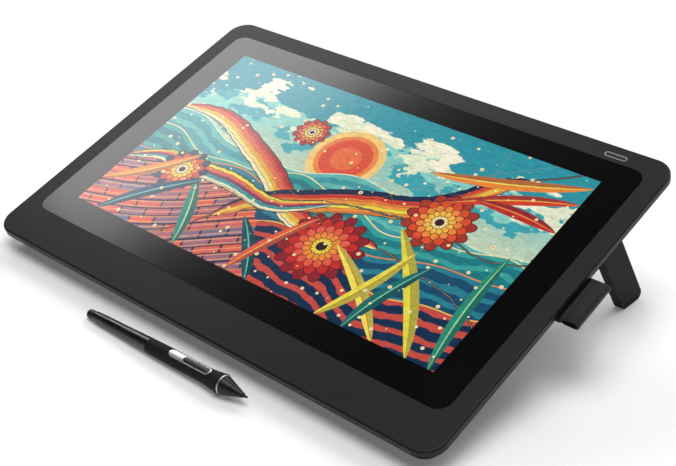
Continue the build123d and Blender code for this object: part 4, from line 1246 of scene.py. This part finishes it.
@dataclass
class Fasteners:
    """Case screws in their wells and the threads of the stand inserts, with lengths in millimetres."""

    head_radius: float = 2.8
    head_height: float = 2.0
    insert_margin: float = 0.3

    def feet(self, node: str) -> tuple[list[Vector], float]:
        """Lowest middle of each solid of a node along the tablet's own Z, and its height.

        Args:
            node: Node whose solids are upright and round in the tablet's frame.

        Returns:
            The points in the row frame, and the height of the last solid in metres.
        """
        axes = tablet_axes()
        inverse = axes.inverted()
        points = []
        height = 0.0
        for solid in islands(node):
            local = [inverse @ corner for corner in solid]
            middle = [(min(c[axis] for c in local) + max(c[axis] for c in local)) / 2 for axis in (0, 1)]
            low = min(corner.z for corner in local)
            height = max(corner.z for corner in local) - low
            points.append(axes @ Vector((*middle, low)))
        return points, height

    def cloud(self, name: str, points: list[Vector]) -> Mesh:
        """Make a mesh of loose points.

        Args:
            name: Name of the mesh.
            points: Its points in the row frame.

        Returns:
            The mesh.
        """
        mesh = bpy.data.meshes.new(name)
        mesh.from_pydata([tuple(point) for point in points], [], [])
        return mesh

    def build(self) -> None:
        """Make the screws in place of their solids, and the threads in the inserts' bores."""
        heads, height = self.feet("case_screws")
        sizes = {
            "Tilt": (TILT, 0.0, 0.0), "Head Radius": mm(self.head_radius),
            "Head Height": mm(self.head_height), "Shank Length": height - mm(self.head_height),
        }
        cloud = self.cloud("screw_points", heads)
        screws = run_tree("case_screw_set", screw_tree(made(SCREW)), cloud, sizes)
        piece = finished("case_screw_set", screws, "tablet")
        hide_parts("case_screws")
        mouths, height = self.feet("stand_inserts")
        axis = tablet_axes() @ Vector((0.0, 0.0, 1.0))
        starts = [mouth + axis * mm(self.insert_margin) for mouth in mouths]
        sizes = {"Tilt": (TILT, 0.0, 0.0), "Length": height - mm(self.insert_margin) * 2}
        cloud = self.cloud("insert_points", starts)
        threads = run_tree("insert_threads", thread_tree(made(BRASS)), cloud, sizes)
        finished("insert_threads", threads, "tablet")


def flattened(angle: float, flatness: float) -> float:
    """Cosine of an angle, drawn towards a square wave so that a round outline gets flat sides."""
    return math.tanh(flatness * math.cos(angle)) / math.tanh(flatness)


@dataclass
class PenLoop:
    """Fabric loop on the right side: a flattened sleeve with sewn hems, held by a flat strap.

    Its lengths are in millimetres, in the tablet's own frame, where X runs across, Y up the
    screen and Z out of the glass.
    """

    # Ribbed cloth, and its waxed thread, which stands out a little paler.
    cloth: ElasticWeave = ElasticWeave("woven_black_elastic", "#19191a")
    yarn: SoftRubber = SoftRubber("waxed_polyester_thread", "#2c2c2d", roughness=0.6, grain=0.3)
    # Sleeve: its width, its height in the middle and at the mouths, and how far these flatten it.
    reach: float = 14.0
    height: float = 7.4
    mouth_height: float = 6.2
    mouth_reach: float = 9.0
    length: float = 38.0
    # Cloth: one layer and the hem's two, with the hem's width, step, crease and rounded edge.
    skin: float = 0.8
    hem_skin: float = 1.4
    hem: float = 3.2
    hem_step: float = 0.12
    crease_depth: float = 0.12
    crease_width: float = 0.45
    mouth_round: float = 0.15
    # Slight waves along the sleeve, and how flat its broad sides are.
    sag: float = 0.12
    sag_rate: float = 0.21
    flatness: float = 3.0
    # Points along and round the sleeve.
    rings: int = 38
    sides: int = 64
    # Strap: how far it shows past both ends of the sleeve, its thickness and where it runs.
    strap_overhang: float = 2.0
    strap_thickness: float = 2.2
    strap_root: float = 5.2
    strap_bite: float = 1.2
    strap_flatness: float = 6.0
    strap_steps: int = 8
    stitch_rise: float = 0.02

    def middle(self) -> Vector:
        """Find the middle of the sleeve from its solid.

        Returns:
            The point in the tablet's own frame, in metres.
        """
        inverse = tablet_axes().inverted()
        corners = [inverse @ corner.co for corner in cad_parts["pen_loop"].data.vertices]
        right = max(corner.x for corner in corners)
        rear = max(corner.y for corner in corners) - mm(self.strap_overhang)
        level = (max(corner.z for corner in corners) + min(corner.z for corner in corners)) / 2
        return Vector((right - mm(self.reach / 2), rear - mm(self.length / 2), level))

    def section_height(self, station: float) -> float:
        """Height of the tube at a station, which the stiff hems draw flatter at both mouths."""
        share = min(1.0, (self.length / 2 - min(abs(station), self.length / 2)) / self.mouth_reach)
        return self.mouth_height + (self.height - self.mouth_height) * share * share * (3 - 2 * share)

    def relief(self, station: float) -> float:
        """Depth of the hem's step and of its stitch line at a station along the sleeve.

        Args:
            station: Place along the sleeve, from its middle.

        Returns:
            The depth in millimetres under the outer skin of the hem.
        """
        edge = self.length / 2 - abs(station)
        step = 0.0 if edge < self.hem else self.hem_step
        crease = self.crease_depth * math.exp(-((edge - self.hem) / self.crease_width) ** 2)
        return step + crease

    def lining(self, station: float) -> float:
        """Depth of the inner skin at a station: two layers of cloth in the hems, one between them."""
        edge = self.length / 2 - abs(station)
        return self.skin + (self.hem_skin - self.skin) / (1 + math.exp((edge - self.hem) * 3))

    def point(self, station: float, turn: float, inset: float) -> Vector:
        """Find a point of the sleeve, with the slight waves that cloth has.

        The tube is a slot whose flat sides bulge a little, as elastic does over its own stiffness.

        Args:
            station: Place along the sleeve, from its middle.
            turn: Share of a full turn round the tube.
            inset: Depth under the outer skin.

        Returns:
            The point in the row frame, in metres.
        """
        height = self.section_height(station)
        radius = height / 2 - inset
        half = self.reach / 2 - height / 2
        angle = turn * 2 * math.pi
        across = half * flattened(angle, self.flatness) + radius * math.cos(angle)
        start, waves = 0.6, 2
        sag = self.sag * math.sin(station * self.sag_rate + start) * math.sin(waves * angle)
        place = self.middle() + Vector((mm(across), mm(station), mm(radius * math.sin(angle) + sag)))
        return tablet_axes() @ place

    def skin_mesh(self, name: str, rows: list[list[Vector]], runs: list[float], around: float,
                  closed: bool) -> Mesh:
        """Mesh over rows of points, each row a closed ring, with the cloth's own UV map.

        Args:
            name: Name of the mesh.
            rows: Rings of points in the row frame.
            runs: Place of each row along the cloth in millimetres.
            around: Length of a ring in millimetres.
            closed: Whether the last row joins the first, or both ends are capped.

        Returns:
            The finished mesh in its material.
        """
        mesh = bmesh.new()
        cloth = mesh.loops.layers.uv.new("cloth")
        grid = [[mesh.verts.new(point) for point in row] for row in rows]
        sides = len(rows[0])
        pairs = list(zip(range(len(grid) - 1), range(1, len(grid))))
        if closed:
            pairs.append((len(grid) - 1, 0))
        for first, second in pairs:
            for side in range(sides):
                after = (side + 1) % sides
                corners = (grid[first][side], grid[first][after], grid[second][after], grid[second][side])
                face = mesh.faces.new(corners)
                face.smooth = True
                left, right = mm(around * side / sides), mm(around * (side + 1) / sides)
                low, high = mm(runs[first]), mm(runs[second])
                for loop, place in zip(face.loops, ((left, low), (right, low), (right, high), (left, high))):
                    loop[cloth].uv = place
        if not closed:
            mesh.faces.new(grid[0])
            mesh.faces.new(list(reversed(grid[-1])))
        bmesh.ops.recalc_face_normals(mesh, faces=mesh.faces)
        result = bpy.data.meshes.new(name)
        mesh.to_mesh(result)
        mesh.free()
        result.materials.append(made(self.cloth))
        return result

    def around(self) -> float:
        """Width of the cloth that goes once round the sleeve, in the middle of its thickness."""
        height = self.height - self.skin
        return 2 * (self.reach - self.height) + math.pi * height

    def sleeve(self) -> Mesh:
        """Sleeve with an outer and an inner skin, rounded over at both mouths.

        Returns:
            The mesh in the row frame.
        """
        half = self.length / 2
        stations = [-half + self.length * step / self.rings for step in range(self.rings + 1)]
        path = [(station, self.relief(station)) for station in stations]
        path.append((half + self.mouth_round, self.hem_skin / 2))
        path += [(station, self.lining(station)) for station in reversed(stations)]
        path.append((-half - self.mouth_round, self.hem_skin / 2))
        turns = [side / self.sides for side in range(self.sides)]
        rows = [[self.point(station, turn, inset) for turn in turns] for station, inset in path]
        runs = [station for station, _ in path]
        return self.skin_mesh("pen_loop_sleeve", rows, runs, self.around(), True)

    def strap(self) -> Mesh:
        """Flat strap that runs from inside the case to the sleeve and shows at both its ends.

        Returns:
            The mesh in the row frame.
        """
        middle = self.middle()
        start = -self.reach / 2 - self.strap_root
        end = -self.reach / 2 + self.strap_bite
        radius = self.strap_thickness / 2
        half = self.length / 2 + self.strap_overhang - radius
        rows = []
        steps = self.strap_steps
        runs = [start + (end - start) * step / steps for step in range(steps + 1)]
        for run in runs:
            row = []
            for side in range(self.sides):
                angle = side / self.sides * 2 * math.pi
                along = half * flattened(angle, self.strap_flatness) + radius * math.cos(angle)
                place = middle + Vector((mm(run), mm(along), mm(radius * math.sin(angle))))
                row.append(tablet_axes() @ place)
            rows.append(row)
        around = (self.length + self.strap_overhang * 2) * 2
        return self.skin_mesh("pen_loop_strap", rows, runs, around, False)

    def hems(self) -> Mesh:
        """Closed lines round the sleeve where the hems are sewn, as edges.

        Returns:
            The mesh in the row frame, which has no faces.
        """
        points = []
        edges = []
        for station in (-self.length / 2 + self.hem, self.length / 2 - self.hem):
            base = len(points)
            inset = self.relief(station) - self.stitch_rise
            points += [tuple(self.point(station, side / self.sides, inset)) for side in range(self.sides)]
            edges += [(base + side, base + (side + 1) % self.sides) for side in range(self.sides)]
        mesh = bpy.data.meshes.new("hem_lines")
        mesh.from_pydata(points, edges, [])
        return mesh

    def build(self) -> None:
        """Make the loop in place of its solid."""
        sleeve = finished("pen_loop_sleeve", self.sleeve(), "tablet")
        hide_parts("pen_loop")
        strap = finished("pen_loop_strap", self.strap(), "tablet")
        thread = run_tree("pen_loop_stitches", stitch_tree(made(self.yarn)), self.hems(), {"Seed": 11})
        stitches = finished("pen_loop_stitches", thread, "tablet")
        flat = (mm(self.around()), mm(self.length))


@dataclass
class Lamp:
    """Rectangular softbox that faces the middle of the object."""

    name: str
    azimuth: float
    elevation: float
    distance: float
    width: float
    height: float
    power: float

    def light(self, target: Vector) -> None:
        """Place the lamp round a target.

        Args:
            target: Point that it faces, in metres.
        """
        turn = math.radians(self.azimuth)
        lift = math.radians(self.elevation)
        away = Vector((math.sin(turn) * math.cos(lift), -math.cos(turn) * math.cos(lift), math.sin(lift)))
        data = bpy.data.lights.new(self.name, "AREA")
        data.shape = "RECTANGLE"
        data.size = self.width
        data.size_y = self.height
        data.energy = self.power
        lamp = placed(self.name, data)
        lamp.location = target + away * self.distance
        lamp.rotation_euler = away.to_track_quat("Z", "Y").to_euler()


@dataclass
class Studio:
    """Plain white floor, soft lamps, pale surroundings and the camera."""

    floor_size: float = 12.0
    floor_colour: str = "#ffffff"
    near_share: float = 0.12
    far_share: float = 0.9
    near_reach: float = 0.27
    far_reach: float = 0.52
    middle: tuple[float, float, float] = (0.0, 0.12, 0.05)
    wall_level: float = 0.45
    ceiling_level: float = 0.018
    wall_top: float = 12.0
    ceiling_start: float = 32.0
    camera_place: tuple[float, float, float] = (0.55606, -0.50223, 0.49832)
    camera_azimuth: float = 40.968
    camera_elevation: float = 29.177
    camera_roll: float = 0.75
    focal_pixels: float = 1293.6
    frame_width: int = 676
    sensor: float = 36.0

    LAMPS = (
        Lamp("overhead_softbox", 30, 80, 2.2, 1.4, 1.4, 33.5),
        Lamp("left_softbox", -123, 38, 2.4, 1.9, 0.75, 19.5),
        Lamp("rear_fill", 172, 42, 2.4, 1.6, 1.2, 26.0),
    )

    def floor(self) -> None:
        """Wide floor under everything."""
        half = self.floor_size / 2
        mesh = bpy.data.meshes.new("floor")
        corners = [(-half, -half, 0.0), (half, -half, 0.0), (half, half, 0.0), (-half, half, 0.0)]
        mesh.from_pydata(corners, [], [(0, 1, 2, 3)])
        mesh.materials.append(self.sweep())
        floor = placed("floor", mesh)

    def sweep(self) -> Material:
        """White paper that shows a growing share of plain white, so that its far parts clip to white.

        Returns:
            The floor's material.
        """
        material, tree, shader, place = blank_material("white_paper_sweep")
        matt = {"Base Color": linear(self.floor_colour), "Roughness": 0.9, "Specular IOR Level": 0.1}
        feed(tree, shader, matt)
        rays = add_node(tree, "ShaderNodeLightPath").outputs
        seen = Field(tree, rays["Is Camera Ray"])
        for kind in ("Is Glossy Ray", "Is Transmission Ray"):
            seen = seen.math("MAXIMUM", Field(tree, rays[kind]))
        white = add_node(tree, "ShaderNodeEmission").outputs[0]
        from_middle = {0: place, 1: self.middle}
        away = add_node(tree, "ShaderNodeVectorMath", {"operation": "DISTANCE"}, from_middle).outputs[1]
        ends = (self.near_reach, self.far_reach)
        share = seen * Field(tree, away).ranged(self.near_share, self.far_share, ends)
        mixed = add_node(tree, "ShaderNodeMixShader", inputs={0: share, 1: shader.outputs[0], 2: white})
        tree.links.new(mixed.outputs[0], tree.nodes["Material Output"].inputs["Surface"])
        return material

    def world(self) -> None:
        """White to the camera; for the light, pale walls under a ceiling whose dark keeps the glass black."""
        world = bpy.data.worlds.new("studio")
        bpy.context.scene.world = world
        world.use_nodes = True
        tree = world.node_tree
        tree.nodes.clear()
        toward = add_node(tree, "ShaderNodeTexCoord").outputs["Generated"]
        height = Field(tree, add_node(tree, "ShaderNodeSeparateXYZ", inputs={0: toward}).outputs[2])
        ends = (math.sin(math.radians(self.wall_top)), math.sin(math.radians(self.ceiling_start)))
        level = height.ranged(self.wall_level, self.ceiling_level, ends)
        seen = add_node(tree, "ShaderNodeLightPath").outputs["Is Camera Ray"]
        light = add_node(tree, "ShaderNodeBackground", inputs={"Strength": level.math("MAXIMUM", seen)})
        add_node(tree, "ShaderNodeOutputWorld", inputs={0: light.outputs[0]})

    def camera(self) -> None:
        """Camera at the photograph's angle."""
        data = bpy.data.cameras.new("camera")
        data.sensor_width = self.sensor
        data.lens = self.focal_pixels * self.sensor / self.frame_width
        data.clip_start = 0.01
        camera = placed("camera", data)
        turn = Matrix.Rotation(math.radians(self.camera_azimuth), 4, "Z")
        pitch = Matrix.Rotation(math.radians(90 - self.camera_elevation), 4, "X")
        roll = Matrix.Rotation(math.radians(self.camera_roll), 4, "Z")
        camera.matrix_world = Matrix.Translation(self.camera_place) @ turn @ pitch @ roll
        bpy.context.scene.camera = camera

    def build(self) -> None:
        """Make the whole studio."""
        self.floor()
        self.world()
        for lamp in self.LAMPS:
            lamp.light(Vector(self.middle))
        self.camera()
        bpy.context.scene.view_settings.view_transform = "Standard"


def main() -> None:
    """Build every sub-assembly in order."""
    logging.basicConfig(level=logging.INFO, format="%(name)s: %(message)s")
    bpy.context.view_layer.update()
    Tablet().dress()
    Pen().dress()
    PenLoop().build()
    Fasteners().build()
    Studio().build()


if __name__ == "__main__":
    main()
